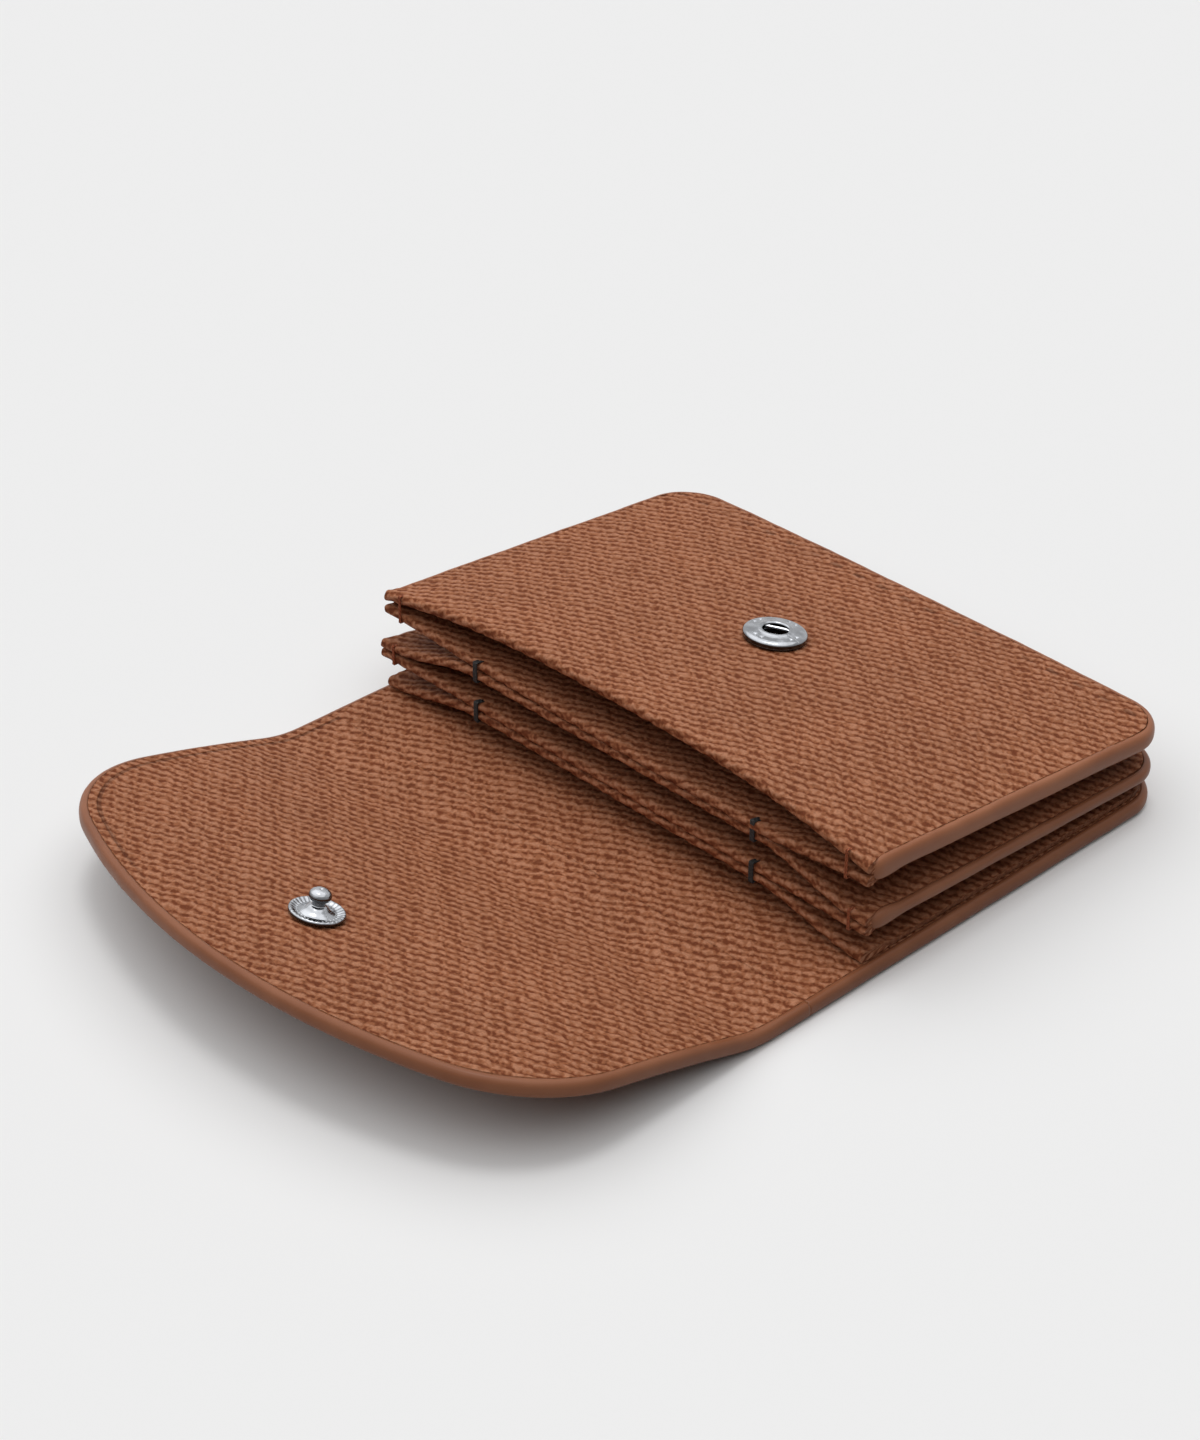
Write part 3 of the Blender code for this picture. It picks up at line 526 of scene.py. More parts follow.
def leaf_top(number, x, y):
    """Upper face of a leaf, counted from the front: seam + (edge - seam) * smooth step across its gusset."""
    share = smooth((np.abs(x) - SEAM_X) / GUSSET_REACH)
    thick = leaf_thickness(y)
    fade = np.clip(1.0 - y / WALLET_DEPTH, 0.0, 1.0)
    if number == 1:
        seam, edge, lift = upper_seam(y), front_seat(y) + twist(x, y), UPPER_LIFT
    elif number == 2:
        seam, edge, lift = upper_seam(y) - thick - SEAT_GAP, middle_top(y), UPPER_LIFT
    elif number == 3:
        level = middle_level(y) - MIDDLE_POCKET / 2
        seam, edge, lift = level, level, LOWER_LIFT
    else:
        seam, edge, lift = middle_base(y) - SEAT_GAP, REAR_SEAT + thick, LOWER_LIFT
    seam = seam + lift * fade
    return seam + share * (edge - seam)


def twist(x, y):
    """The front pouch leans a little: its right corner stands higher than its left one."""
    return FRONT_TWIST * x / HALF_WIDTH * np.clip(1.0 - y / WALLET_DEPTH, 0.0, 1.0)


def skew(x, y):
    """The front pouch's right corner also comes forward a little, and its left one goes back."""
    return -FRONT_SKEW * x / HALF_WIDTH * (1.0 - smooth(y / WALLET_DEPTH))


def proud(y):
    """The middle pouch's mouth stands a little forward."""
    return -MIDDLE_PROUD * (1.0 - smooth(y / MIDDLE_PROUD_DEPTH))


def dimple(away):
    """How far the front panel is pressed down: sink * exp(-(distance from the socket / dimple)**2)."""
    return SOCKET_SINK * np.exp(-((away / SOCKET_DIMPLE) ** 2))


def stud_seat(x, arc):
    """How far the flap's leather lies lower round the stud, where it leans with the stud.

    tan(lean) * distance toward the lean * exp(-(distance from the stud / spread)**4).
    """
    away = np.hypot(x, arc - STUD_REACH)
    toward = x * math.cos(STUD_LEAN_TOWARD) - (arc - STUD_REACH) * math.sin(STUD_LEAN_TOWARD)
    return math.tan(STUD_LEAN) * toward * np.exp(-((away / STUD_LEAN_SPREAD) ** 4))


def swell(x, way):
    """Places across, swollen out over the painted edge at the corners of a mouth."""
    near = smooth((np.abs(x) - CORNER_SWELL_FROM) / (HALF_WIDTH - EDGE_BEAD - CORNER_SWELL_FROM))
    fade = 1.0 - smooth((way - CORNER_SWELL_START) / CORNER_SWELL_LENGTH)
    return x + np.sign(x) * CORNER_SWELL * near * fade


def hem_swell(way):
    """Half the hem's extra fullness at each way in from the mouth."""
    return HEM_FULLNESS / 2 * (1.0 - smooth((way - HEM_SWELL_FROM) / HEM_SWELL_LENGTH))


def hem_top(number, x, way):
    """Upper face of a leaf with its hem's fullness."""
    return leaf_top(number, x, way) + hem_swell(way)


def hem_base(number, x, way):
    """Underside of a leaf with its hem's fullness."""
    return leaf_top(number, x, way) - leaf_thickness(way) - hem_swell(way)


def flap_corner():
    """The flap corner's centre across and along, and the angle at which it meets the front curve."""
    corner_x = HALF_WIDTH - FLAP_CORNER_RADIUS
    front_centre = FLAP_TIP - FLAP_FRONT_RADIUS
    rise = math.sqrt((FLAP_FRONT_RADIUS - FLAP_CORNER_RADIUS) ** 2 - corner_x**2)
    return corner_x, front_centre, rise, math.atan2(rise, corner_x)


def flap_reach(x, inset):
    """Arc length of the flap's outline over each place across, inside an inset."""
    corner_x, front_centre, rise, meet = flap_corner()
    front = front_centre + np.sqrt((FLAP_FRONT_RADIUS - inset) ** 2 - x**2)
    radius = FLAP_CORNER_RADIUS - inset
    side = np.clip(radius**2 - (np.abs(x) - corner_x) ** 2, 0.0, None)
    corner = front_centre + rise + np.sqrt(side)
    meet_x = (FLAP_FRONT_RADIUS - inset) * math.cos(meet)
    return np.where(np.abs(x) < meet_x, front, corner)


def flap_margin(x, arc):
    """Distance from each place on the flap to its outline: its straight side, corner arc or front arc."""
    corner_x, front_centre, rise, meet = flap_corner()
    across = np.abs(x)
    side = HALF_WIDTH - across
    along = arc - front_centre - rise
    corner = FLAP_CORNER_RADIUS - np.hypot(across - corner_x, along)
    front = FLAP_FRONT_RADIUS - np.hypot(across, arc - front_centre)
    turn = np.arctan2(along, across - corner_x)
    out = np.where(along <= 0.0, side, np.where(turn < meet, corner, front))
    return np.where((along > 0.0) & (across < corner_x), np.minimum(front, side), out)


def pouch_reach(x, inset):
    """Way in from the mouth to a pouch's bottom edge over each place across, inside an inset."""
    into = np.clip(np.abs(x) - (HALF_WIDTH - CORNER_RADIUS), 0.0, CORNER_RADIUS - inset)
    return WALLET_DEPTH - CORNER_RADIUS + np.sqrt((CORNER_RADIUS - inset) ** 2 - into**2)


def pouch_margin(x, way):
    """Distance from each place on a pouch to its outline, the mouth left out."""
    across = np.abs(x) - (HALF_WIDTH - CORNER_RADIUS)
    along = way - (WALLET_DEPTH - CORNER_RADIUS)
    corner = CORNER_RADIUS - np.hypot(np.maximum(across, 0.0), np.maximum(along, 0.0))
    return np.where((across > 0.0) & (along > 0.0), corner, CORNER_RADIUS - np.maximum(across, along))


# Meshes


def columns_across(corner, corner_from, step):
    """Places across the wallet from left to right, closer together round the corners of an outline.

    Round a corner they are centre + radius * sin(t) at even steps of t, and evenly spaced elsewhere.
    """
    radius = corner - SKIN_INSET
    centre = HALF_WIDTH - corner
    start = math.asin(max(corner_from - centre, 0.0) / radius)
    count = max(int(radius * (math.pi / 2 - start) / step), 8)
    turn = np.linspace(start, math.pi / 2, count + 1)
    right = centre + radius * np.sin(turn)
    half = np.linspace(0.0, right[0], max(int(right[0] / step), 4) + 1)[:-1]
    right = np.concatenate([half, right])
    return np.concatenate([-right[:0:-1], right])


def relief_at(place):
    """Height of the weave, 0 in its grooves and 1 on its bumps: a smooth step of a sum of cosine waves."""
    total = np.zeros(place.shape[:-1])
    for across, along, share, phase in WEAVE_WAVES[:MESH_WAVES]:
        angle = 2 * math.pi * (across * place[..., 0] + along * place[..., 1]) + phase
        total += share * np.cos(angle)
    return smooth((total + MESH_WAVE_SUM) / (2 * MESH_WAVE_SUM))


def wandered(x, along, seed):
    """The weave's own place under each place on the leather: slow sine waves move its rows a little."""
    out = np.stack([x, along], axis=-1)
    for n, (across, up, size, phase) in enumerate(WANDER_WAVES):
        wave = 2 * math.pi * (across * x + up * along) + phase + seed * (n + 1)
        out[..., 0] += size * np.sin(wave)
        out[..., 1] += size * np.cos(1.3 * wave + n)
    return out


def ring_normals(rings):
    """Unit normals of closed section rings: the cross product of the ways across and around them."""
    across = np.gradient(rings, axis=0)
    around = np.roll(rings, -1, axis=1) - np.roll(rings, 1, axis=1)
    normal = np.cross(across, around)
    size = np.linalg.norm(normal, axis=-1, keepdims=True)
    return normal / np.maximum(size, 1e-12)


def closed_mesh(name, shells):
    """One mesh from closed shells of section rings, each (rings, flat segments, place, margin).

    Quads join neighbouring rings, one face closes each end, and a shell whose volume comes out negative
    is turned round. place becomes the UV map, and margin an attribute.
    """
    points, quads, smooth_quads, ends, places, margins = [], [], [], [], [], []
    base = 0
    for rings, flat, place, margin in shells:
        count, around = rings.shape[:2]
        index = base + np.arange(count * around).reshape(count, around)
        a, b = index[:-1], np.roll(index, -1, axis=1)[:-1]
        c, d = np.roll(index, -1, axis=1)[1:], index[1:]
        quad = np.stack([a, b, c, d], axis=-1)
        middle = rings.reshape(-1, 3).mean(0)
        corner = rings.reshape(-1, 3) - middle
        p = corner[quad.reshape(-1, 4) - base]
        volume = np.einsum("ij,ij->i", p[:, 0], np.cross(p[:, 1], p[:, 2])).sum()
        volume += np.einsum("ij,ij->i", p[:, 0], np.cross(p[:, 2], p[:, 3])).sum()
        first, last = index[0], index[-1]
        if volume < 0:
            quad = quad[..., ::-1]
            caps = (first, last[::-1])
        else:
            caps = (first[::-1], last)
        keep = np.ones((count - 1, around), bool)
        keep[:, list(flat)] = False
        points.append(rings.reshape(-1, 3))
        quads.append(quad.reshape(-1, 4))
        smooth_quads.append(keep.reshape(-1))
        ends.extend(caps)
        places.append(np.zeros((count * around, 2)) if place is None else place.reshape(-1, 2))
        margins.append(np.full(count * around, 1.0) if margin is None else margin.reshape(-1))
        base += count * around
    points, quads = np.concatenate(points), np.concatenate(quads)
    places, margins = np.concatenate(places), np.concatenate(margins)
    loops = np.concatenate([quads.reshape(-1), *ends]).astype(np.int32)
    sizes = np.concatenate([np.full(len(quads), 4), [len(end) for end in ends]])
    starts = np.concatenate([[0], np.cumsum(sizes)[:-1]]).astype(np.int32)
    mesh = bpy.data.meshes.new(name)
    mesh.vertices.add(len(points))
    mesh.vertices.foreach_set("co", points.astype(np.float32).reshape(-1))
    mesh.loops.add(len(loops))
    mesh.loops.foreach_set("vertex_index", loops)
    mesh.polygons.add(len(sizes))
    mesh.polygons.foreach_set("loop_start", starts)
    shade = np.concatenate([*smooth_quads, np.zeros(len(ends), bool)])
    mesh.polygons.foreach_set("use_smooth", shade)
    layer = mesh.uv_layers.new(name="UVMap")
    layer.data.foreach_set("uv", places[loops].astype(np.float32).reshape(-1))
    edge = mesh.attributes.new("margin", "FLOAT", "POINT")
    edge.data.foreach_set("value", margins.astype(np.float32))
    mesh.update(calc_edges=True)
    if mesh.validate():
        raise RuntimeError(name + ": the mesh had faults")
    obj = bpy.data.objects.new(name, mesh)
    bpy.context.scene.collection.objects.link(obj)
    return obj


def tube(path, radius, around):
    """Rings of a round tube along a path: each turns with the path and keeps the last one's direction."""
    path = np.asarray(path, float)
    tangent = np.gradient(path, axis=0)
    tangent /= np.linalg.norm(tangent, axis=1, keepdims=True)
    side = np.cross(tangent, OFF_AXIS)
    side /= np.linalg.norm(side, axis=1, keepdims=True)
    for n in range(1, len(path)):
        side[n] = side[n - 1] - tangent[n] * (side[n - 1] @ tangent[n])
        side[n] /= np.linalg.norm(side[n])
    up = np.cross(tangent, side)
    turn = np.linspace(0.0, 2 * math.pi, around, endpoint=False)
    size = np.broadcast_to(np.asarray(radius, float), (len(path),))[:, None, None]
    ring = side[:, None] * np.cos(turn)[None, :, None] + up[:, None] * np.sin(turn)[None, :, None]
    return path[:, None] + size * ring


def turned_rings(profile, steps, change=None):
    """Rings of a turned solid: each is the outline (r cos a, r sin a, height) at one angle about Z.

    change takes radius, height and angle, and gives back a changed radius and height.
    """
    angle = np.linspace(0.0, 2 * math.pi, steps + 1)
    radius, height = np.asarray(profile, float).T
    radius = np.broadcast_to(radius, (steps + 1, len(radius)))
    height = np.broadcast_to(height, (steps + 1, height.shape[-1]))
    if change is not None:
        radius, height = change(radius, height, angle[:, None])
    return np.stack([radius * np.cos(angle)[:, None], radius * np.sin(angle)[:, None], height], axis=-1)


def facing(rings):
    """How far each place of a turned solid faces up, from -1 to 1."""
    up = ring_normals(rings)[..., 2]
    return up * np.sign(up[0, np.argmax(rings[0, :, 2])])


def run_along(path):
    """Length of a path up to each of its points."""
    return np.concatenate([[0.0], np.cumsum(np.linalg.norm(np.diff(path, axis=0), axis=1))])


def mirrored(x, along, out_x, out_along):
    """A path that ends on the middle line, carried on to the left as its mirror image."""
    turned = [(x, -1.0), (along, 1.0), (out_x, -1.0), (out_along, 1.0)]
    return [np.concatenate([line, sign * line[-2::-1]]) for line, sign in turned]


def split_outline(corners, step):
    """A closed outline through the corners, split into stretches of about a step."""
    out = []
    corners = [np.array(corner, float) for corner in corners]
    for a, b in zip(corners, corners[1:] + corners[:1]):
        count = max(int(np.linalg.norm(b - a) / step), 1)
        out += [a + (b - a) * n / count for n in range(count)]
    return np.array(out)


# Materials


class Nodes:
    """Short hand for building one node tree."""

    def __init__(self, tree):
        self.tree = tree
        self.count = 0

    def add(self, kind, **values):
        """A new node of this kind with these values."""
        node = self.tree.nodes.new(kind)
        node.location = (220 * (self.count % 8), -240 * (self.count // 8))
        self.count += 1
        for name, value in values.items():
            setattr(node, name, value)
        return node

    def link(self, source, target):
        """Joins an output to an input."""
        self.tree.links.new(source, target)

    def feed(self, socket, value):
        """Gives an input a value, or joins it to an output."""
        if isinstance(value, bpy.types.NodeSocket):
            self.link(value, socket)
        else:
            socket.default_value = value

    def math(self, operation, first, second=None, third=None):
        """The result of a sum or another operation on up to three values."""
        node = self.add("ShaderNodeMath", operation=operation)
        for socket, value in zip(node.inputs, (first, second, third)):
            if value is not None:
                self.feed(socket, value)
        return node.outputs[0]

    def span(self, value, low, high, to_low=0.0, to_high=1.0):
        """A smooth step from to_low to to_high while the value goes from low to high."""
        node = self.add("ShaderNodeMapRange", interpolation_type="SMOOTHSTEP")
        for socket, item in zip(node.inputs, (value, low, high, to_low, to_high)):
            self.feed(socket, item)
        return node.outputs[0]

    def noise(self, place, scale, detail=2.0):
        """Soft noise from 0 to 1, of about scale cycles per metre."""
        node = self.add("ShaderNodeTexNoise")
        self.link(place, node.inputs["Vector"])
        node.inputs["Scale"].default_value = scale
        node.inputs["Detail"].default_value = detail
        return node.outputs["Fac"]

    def mix(self, share, first, second, blend="MIX"):
        """The first colour mixed with the second, or multiplied by it, to a share."""
        node = self.add("ShaderNodeMix", data_type="RGBA", blend_type=blend)
        self.feed(node.inputs[0], share)
        self.feed(node.inputs[6], first if isinstance(first, bpy.types.NodeSocket) else (*first, 1.0))
        self.feed(node.inputs[7], second if isinstance(second, bpy.types.NodeSocket) else (*second, 1.0))
        return node.outputs[2]

    def grey(self, value):
        """A grey colour whose three parts are this value."""
        node = self.add("ShaderNodeCombineColor")
        for socket in node.inputs[:3]:
            self.feed(socket, value)
        return node.outputs[0]

    def parts(self, place):
        """X, Y and Z of a place."""
        node = self.add("ShaderNodeSeparateXYZ")
        self.link(place, node.inputs[0])
        return node.outputs[:3]

    def margin(self):
        """The value that the mesh holds as its attribute named margin."""
        return self.add("ShaderNodeAttribute", attribute_name="margin").outputs["Fac"]

    def bump(self, height, shader):
        """Bends the shader's normal by a height in metres."""
        node = self.add("ShaderNodeBump")
        node.inputs["Distance"].default_value = 1.0
        self.link(height, node.inputs["Height"])
        self.link(node.outputs["Normal"], shader.inputs["Normal"])


def weave_group():
    """Mask of the pressed weave from its place in metres: its relief, and its fine grain.

    The relief is a smooth step of the sum of share * cos(2 pi (place . cycles) + phase) and soft clumps.
    """
    group = bpy.data.node_groups.get("wallet_weave")
    if group:
        return group
    group = bpy.data.node_groups.new("wallet_weave", "ShaderNodeTree")
    group.interface.new_socket("Place", in_out="INPUT", socket_type="NodeSocketVector")
    group.interface.new_socket("Solid", in_out="INPUT", socket_type="NodeSocketVector")
    group.interface.new_socket("Relief", in_out="OUTPUT", socket_type="NodeSocketFloat")
    group.interface.new_socket("Grain", in_out="OUTPUT", socket_type="NodeSocketFloat")
    n = Nodes(group)
    source = n.add("NodeGroupInput")
    result = n.add("NodeGroupOutput")
    total = None
    for across, along, share, phase in WEAVE_WAVES:
        dot = n.add("ShaderNodeVectorMath", operation="DOT_PRODUCT")
        n.link(source.outputs["Place"], dot.inputs[0])
        dot.inputs[1].default_value = (2 * math.pi * across, 2 * math.pi * along, 0.0)
        wave = n.math("COSINE", n.math("ADD", dot.outputs["Value"], phase))
        total = n.math("MULTIPLY_ADD", wave, share, 0.0 if total is None else total)
    clumps = n.noise(source.outputs["Solid"], CLUMP_SCALE, 2.0)
    total = n.math("ADD", total, n.math("MULTIPLY", n.math("SUBTRACT", clumps, 0.5), CLUMP_SHARE))
    n.link(n.span(total, *RELIEF_SPAN), result.inputs["Relief"])
    n.link(n.noise(source.outputs["Solid"], GRAIN_SCALE, 3.0), result.inputs["Grain"])
    return group


def scaled(colour, tone):
    """A colour times a tone."""
    return tuple(tone * value for value in colour)


def new_material(name, colour, roughness, metallic=0.0):
    """A material of one plain colour, with its nodes' short hand and its shader."""
    material = bpy.data.materials.new(name)
    material.use_nodes = True
    shader = material.node_tree.nodes["Principled BSDF"]
    shader.inputs["Base Color"].default_value = (*colour, 1.0)
    shader.inputs["Roughness"].default_value = roughness
    shader.inputs["Metallic"].default_value = metallic
    material.diffuse_color = (*colour, 1.0)
    return material, Nodes(material.node_tree), shader


def seam_line(n, solid, blotch, look, dashes):
    """Mask of the line along a seam: 1 on it and 0 away from it, from each place's distance to the outline.

    A groove lies one groove's way in, and fades toward the right. Dashes lie further in, are wider, and
    come and go with a sine wave across the wallet and with the blotches.
    """
    way = DASH_WAY * look.groove if dashes else look.groove
    away = n.math("ABSOLUTE", n.math("SUBTRACT", n.margin(), way))
    wobble = n.math("MULTIPLY", n.math("SUBTRACT", n.noise(solid, WOBBLE_SCALE), 0.5), GROOVE_WOBBLE)
    line = n.span(n.math("ADD", away, wobble), GROOVE_CORE, DASH_HALF if dashes else GROOVE_HALF, 1.0, 0.0)
    across = n.parts(solid)[0]
    if not dashes:
        fade = n.span(across, GROOVE_FULL_X, GROOVE_FAINT_X, *GROOVE_FADE_TONES)
        return n.math("MULTIPLY", line, fade)
    run = n.math("SINE", n.math("MULTIPLY", across, 2 * math.pi / DASH_LENGTH))
    line = n.math("MULTIPLY", line, n.span(run, *DASH_TONES))
    return n.math("MULTIPLY", line, n.span(blotch, *DASH_BLOTCH_TONES))


def leather_material(name, modelled, tone=1.0, groove=False, dashes=False):
    """Matt leather with a pressed weave, with soft blotches: painted shade makes it dark between its rows and
    painted light makes it paler on their tops.

    modelled says that the weave is in the mesh, so that the shader adds only what is finer. A tone below 1
    gives a darker copy of the leather, painted shade for the parts inside the pouches.
    """
    look = bpy.context.scene.wallet_leather
    material, n, shader = new_material(name, tuple(look.middle), look.roughness)
    shader.inputs["Specular IOR Level"].default_value = 0.14
    coordinates = n.add("ShaderNodeTexCoord")
    solid = coordinates.outputs["Object"]
    weave = n.add("ShaderNodeGroup")
    weave.node_tree = weave_group()
    n.link(coordinates.outputs["UV"], weave.inputs["Place"])
    n.link(solid, weave.inputs["Solid"])
    relief, grain = weave.outputs["Relief"], weave.outputs["Grain"]
    # Painted shade in the weave's recesses and painted light on its tops, mixed from the relief
    low = n.mix(n.span(relief, *PAINTED_RECESS_SHADE_SPAN), look.recess_and_painted_shade, look.middle)
    colour = n.mix(n.span(relief, *PAINTED_TOP_LIGHT_SPAN), low, look.bump)
    blotch = n.noise(solid, BLOTCH_SCALE, 3.0)
    shade = n.math("MULTIPLY", n.span(blotch, *BLOTCH_TONES), tone)
    shade = n.math("MULTIPLY", shade, n.span(grain, *GRAIN_TONES))
    height = n.math("MULTIPLY", grain, GRAIN_HEIGHT)
    height = n.math("MULTIPLY_ADD", relief, FINER_RELIEF if modelled else WHOLE_RELIEF, height)
    if groove:
        line = seam_line(n, solid, blotch, look, dashes)
        # Painted shade darkens the colour in the seam's groove and along its dashes
        shade = n.math("MULTIPLY", shade, n.span(line, 0.0, 1.0, 1.0, DASH_SHADE_TONE if dashes else GROOVE_SHADE_TONE))
        depth = DASH_DEPTH * look.groove_depth if dashes else look.groove_depth
        height = n.math("SUBTRACT", height, n.math("MULTIPLY", line, depth))
    n.link(n.mix(1.0, colour, n.grey(shade), "MULTIPLY"), shader.inputs["Base Color"])
    n.bump(height, shader)
    matt = n.span(relief, 0.0, 1.0, look.roughness + 0.12, look.roughness - 0.06)
    n.link(matt, shader.inputs["Roughness"])
    return material


def edge_material(name, tone=1.0):
    """Satin edge paint: a soft unevenness along the edge, lighter where it is rubbed."""
    look = bpy.context.scene.wallet_edge
    paint, worn = scaled(look.colour, tone), scaled(look.worn, tone)
    material, n, shader = new_material(name, paint, look.roughness)
    shader.inputs["Specular IOR Level"].default_value = 0.2
    place = n.add("ShaderNodeTexCoord").outputs["Object"]
    slow = n.noise(place, PAINT_WAVE_SCALE, 3.0)
    fine = n.noise(place, PAINT_GRAIN_SCALE, 2.0)
    n.link(n.mix(n.span(slow, *RUBBED_SPAN), paint, worn), shader.inputs["Base Color"])
    n.bump(n.math("MULTIPLY_ADD", slow, PAINT_WAVE, n.math("MULTIPLY", fine, PAINT_GRAIN)), shader)
    satin = n.span(slow, 0.3, 0.7, look.roughness - 0.05, look.roughness + 0.1)
    n.link(satin, shader.inputs["Roughness"])
    return material


def metal_material(name, tone=1.0, painted_facing_shade=False):
    """Polished plating with faint turning marks, and a noise that varies its roughness like smudges and
    paints darker and paler patches of reflection into its colour.

    The last flag says that the mesh holds how far each place faces up, and then steep places get painted
    shade, darker as if they reflected less light.
    """
    look = bpy.context.scene.wallet_metal
    colour = scaled(look.colour, tone)
    material, n, shader = new_material(name, colour, look.roughness, 1.0)
    place = n.add("ShaderNodeTexCoord").outputs["Object"]
    smudge_and_reflection = n.noise(place, SMUDGE_AND_REFLECTION_SCALE, 3.0)
    fine = n.noise(place, TURNING_SCALE, 2.0)
    # Painted reflection: the plating's colour goes darker and paler in noisy patches
    light = n.mix(n.span(smudge_and_reflection, *PAINTED_REFLECTION_SPAN), scaled(colour, PAINTED_REFLECTION_DARK), scaled(colour, PAINTED_REFLECTION_PALE))
    # Painted shade: steep places of the snap are darker
    if painted_facing_shade:
        light = n.mix(1.0, light, n.grey(n.span(n.margin(), *PAINTED_FACING_SHADE_TONES)), "MULTIPLY")
    n.link(light, shader.inputs["Base Color"])
    polish = n.span(smudge_and_reflection, 0.3, 0.75, look.roughness - 0.06, look.roughness + 0.12)
    n.link(polish, shader.inputs["Roughness"])
    n.bump(n.math("MULTIPLY", fine, TURNING_MARK), shader)
    return material


def thread_material(name, colour):
    """Twisted thread: its strands are a sine of the run along it plus two turns round it, with a little fuzz;
    the colour is painted darker between the strands and paler on them, as painted shade and light.

    Both come from its UV map.
    """
    material, n, shader = new_material(name, colour, 0.75)
    coordinates = n.add("ShaderNodeTexCoord")
    run, turn = n.parts(coordinates.outputs["UV"])[:2]
    along = n.math("MULTIPLY", run, 2 * math.pi / TWIST_LENGTH)
    strand = n.span(n.math("SINE", n.math("MULTIPLY_ADD", turn, 2 * math.pi * 2, along)), -1.0, 1.0)
    fuzz = n.noise(coordinates.outputs["Object"], FUZZ_SCALE, 2.0)
    # Painted shade between the strands and painted light on them, at half and one and a half times the
    # thread's colour
    pale = tuple(min(1.0, 1.5 * value + 0.01) for value in colour)
    share = n.math("MULTIPLY_ADD", fuzz, 0.4, n.math("MULTIPLY", strand, 0.7))
    n.link(n.mix(share, scaled(colour, 0.5), pale), shader.inputs["Base Color"])
    n.bump(n.math("MULTIPLY", strand, STRAND_HEIGHT), shader)
    return material


def board_material():
    """Pressed board: grey-brown with fibres."""
    material, n, shader = new_material("wallet_board", (0.33, 0.28, 0.23), 0.9)
    fibre = n.noise(n.add("ShaderNodeTexCoord").outputs["Object"], FIBRE_SCALE, 4.0)
    n.link(n.mix(fibre, (0.25, 0.21, 0.17), (0.42, 0.36, 0.30)), shader.inputs["Base Color"])
    n.bump(n.math("MULTIPLY", fibre, FIBRE_HEIGHT), shader)
    return material


def finish(obj, material, nodes):
    """Gives a skin its material and slot, and hides the CAD nodes that it replaces."""
    obj.data.materials.append(material)
    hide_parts(*nodes)
    return obj


# Pieces


def panel_rings(x, thickness, hem_thickness, top, dense=None):
    """Section rings of a pouch layer: far end, upper face, rounded mouth and underside.

    The mouth is a half circle of half the hem's thickness r: way = r (1 - sin t), fall = r (1 - cos t).
    Rows lie FINE apart, or only as far in as dense. Returns the place across, the way in from the mouth,
    the height, the arc along the skin, and the number of rows on the upper face.
    """
    far = pouch_reach(x, SKIN_INSET)[:, None]
    nose = hem_thickness / 2
    if dense is None:
        share = np.linspace(0.0, 1.0, int((WALLET_DEPTH - SKIN_INSET) / FINE))[None, :]
    else:
        deep = 1.0 - dense / WALLET_DEPTH
        inner = np.linspace(0.0, deep, int(deep * WALLET_DEPTH / COARSE))[:-1]
        share = np.concatenate([inner, np.linspace(deep, 1.0, int(dense / FINE))])[None, :]
    upper = far + (nose - far) * share
    turn = np.linspace(0.0, math.pi, NOSE_POINTS + 2)[None, 1:-1]
    round_way = np.broadcast_to(nose * (1.0 - np.sin(turn)), (len(x), NOSE_POINTS))
    hem_way = np.linspace(nose, HEM_DEPTH, int(HEM_DEPTH / HEM_STEP))[None, :]
    hem_way = np.broadcast_to(hem_way, (len(x), hem_way.shape[1]))
    inside = HEM_DEPTH + BACK_START
    back = inside + (far - inside) * np.linspace(0.0, 1.0, BACK_ROWS)[None, :]
    way = np.concatenate([upper, round_way, hem_way, back], axis=1)
    across = np.broadcast_to(x[:, None], way.shape)
    level = top(across, np.maximum(way, 0.0))
    fall = np.concatenate([
        np.zeros_like(upper), np.broadcast_to(nose * (1.0 - np.cos(turn)), round_way.shape),
        np.full_like(hem_way, hem_thickness), np.full_like(back, thickness)], axis=1)
    around = nose * (math.pi - 2.0)
    length = np.concatenate([
        upper, np.broadcast_to(nose * (1.0 - turn), round_way.shape),
        -hem_way - around, -back - around], axis=1)
    return across, way, level - fall, length, share.shape[1]


def pressed(rings, place, depth, mask=None):
    """The rings with the weave pressed into them along their normals: depth * (relief - 1) * mask."""
    normal = ring_normals(rings)
    row = np.argmax(rings[len(rings) // 2, :, 2])
    if normal[len(rings) // 2, row, 2] < 0:
        normal = -normal
    push = (relief_at(place) - 1.0) * depth
    if mask is not None:
        push = push * mask
    return rings + normal * push[..., None]


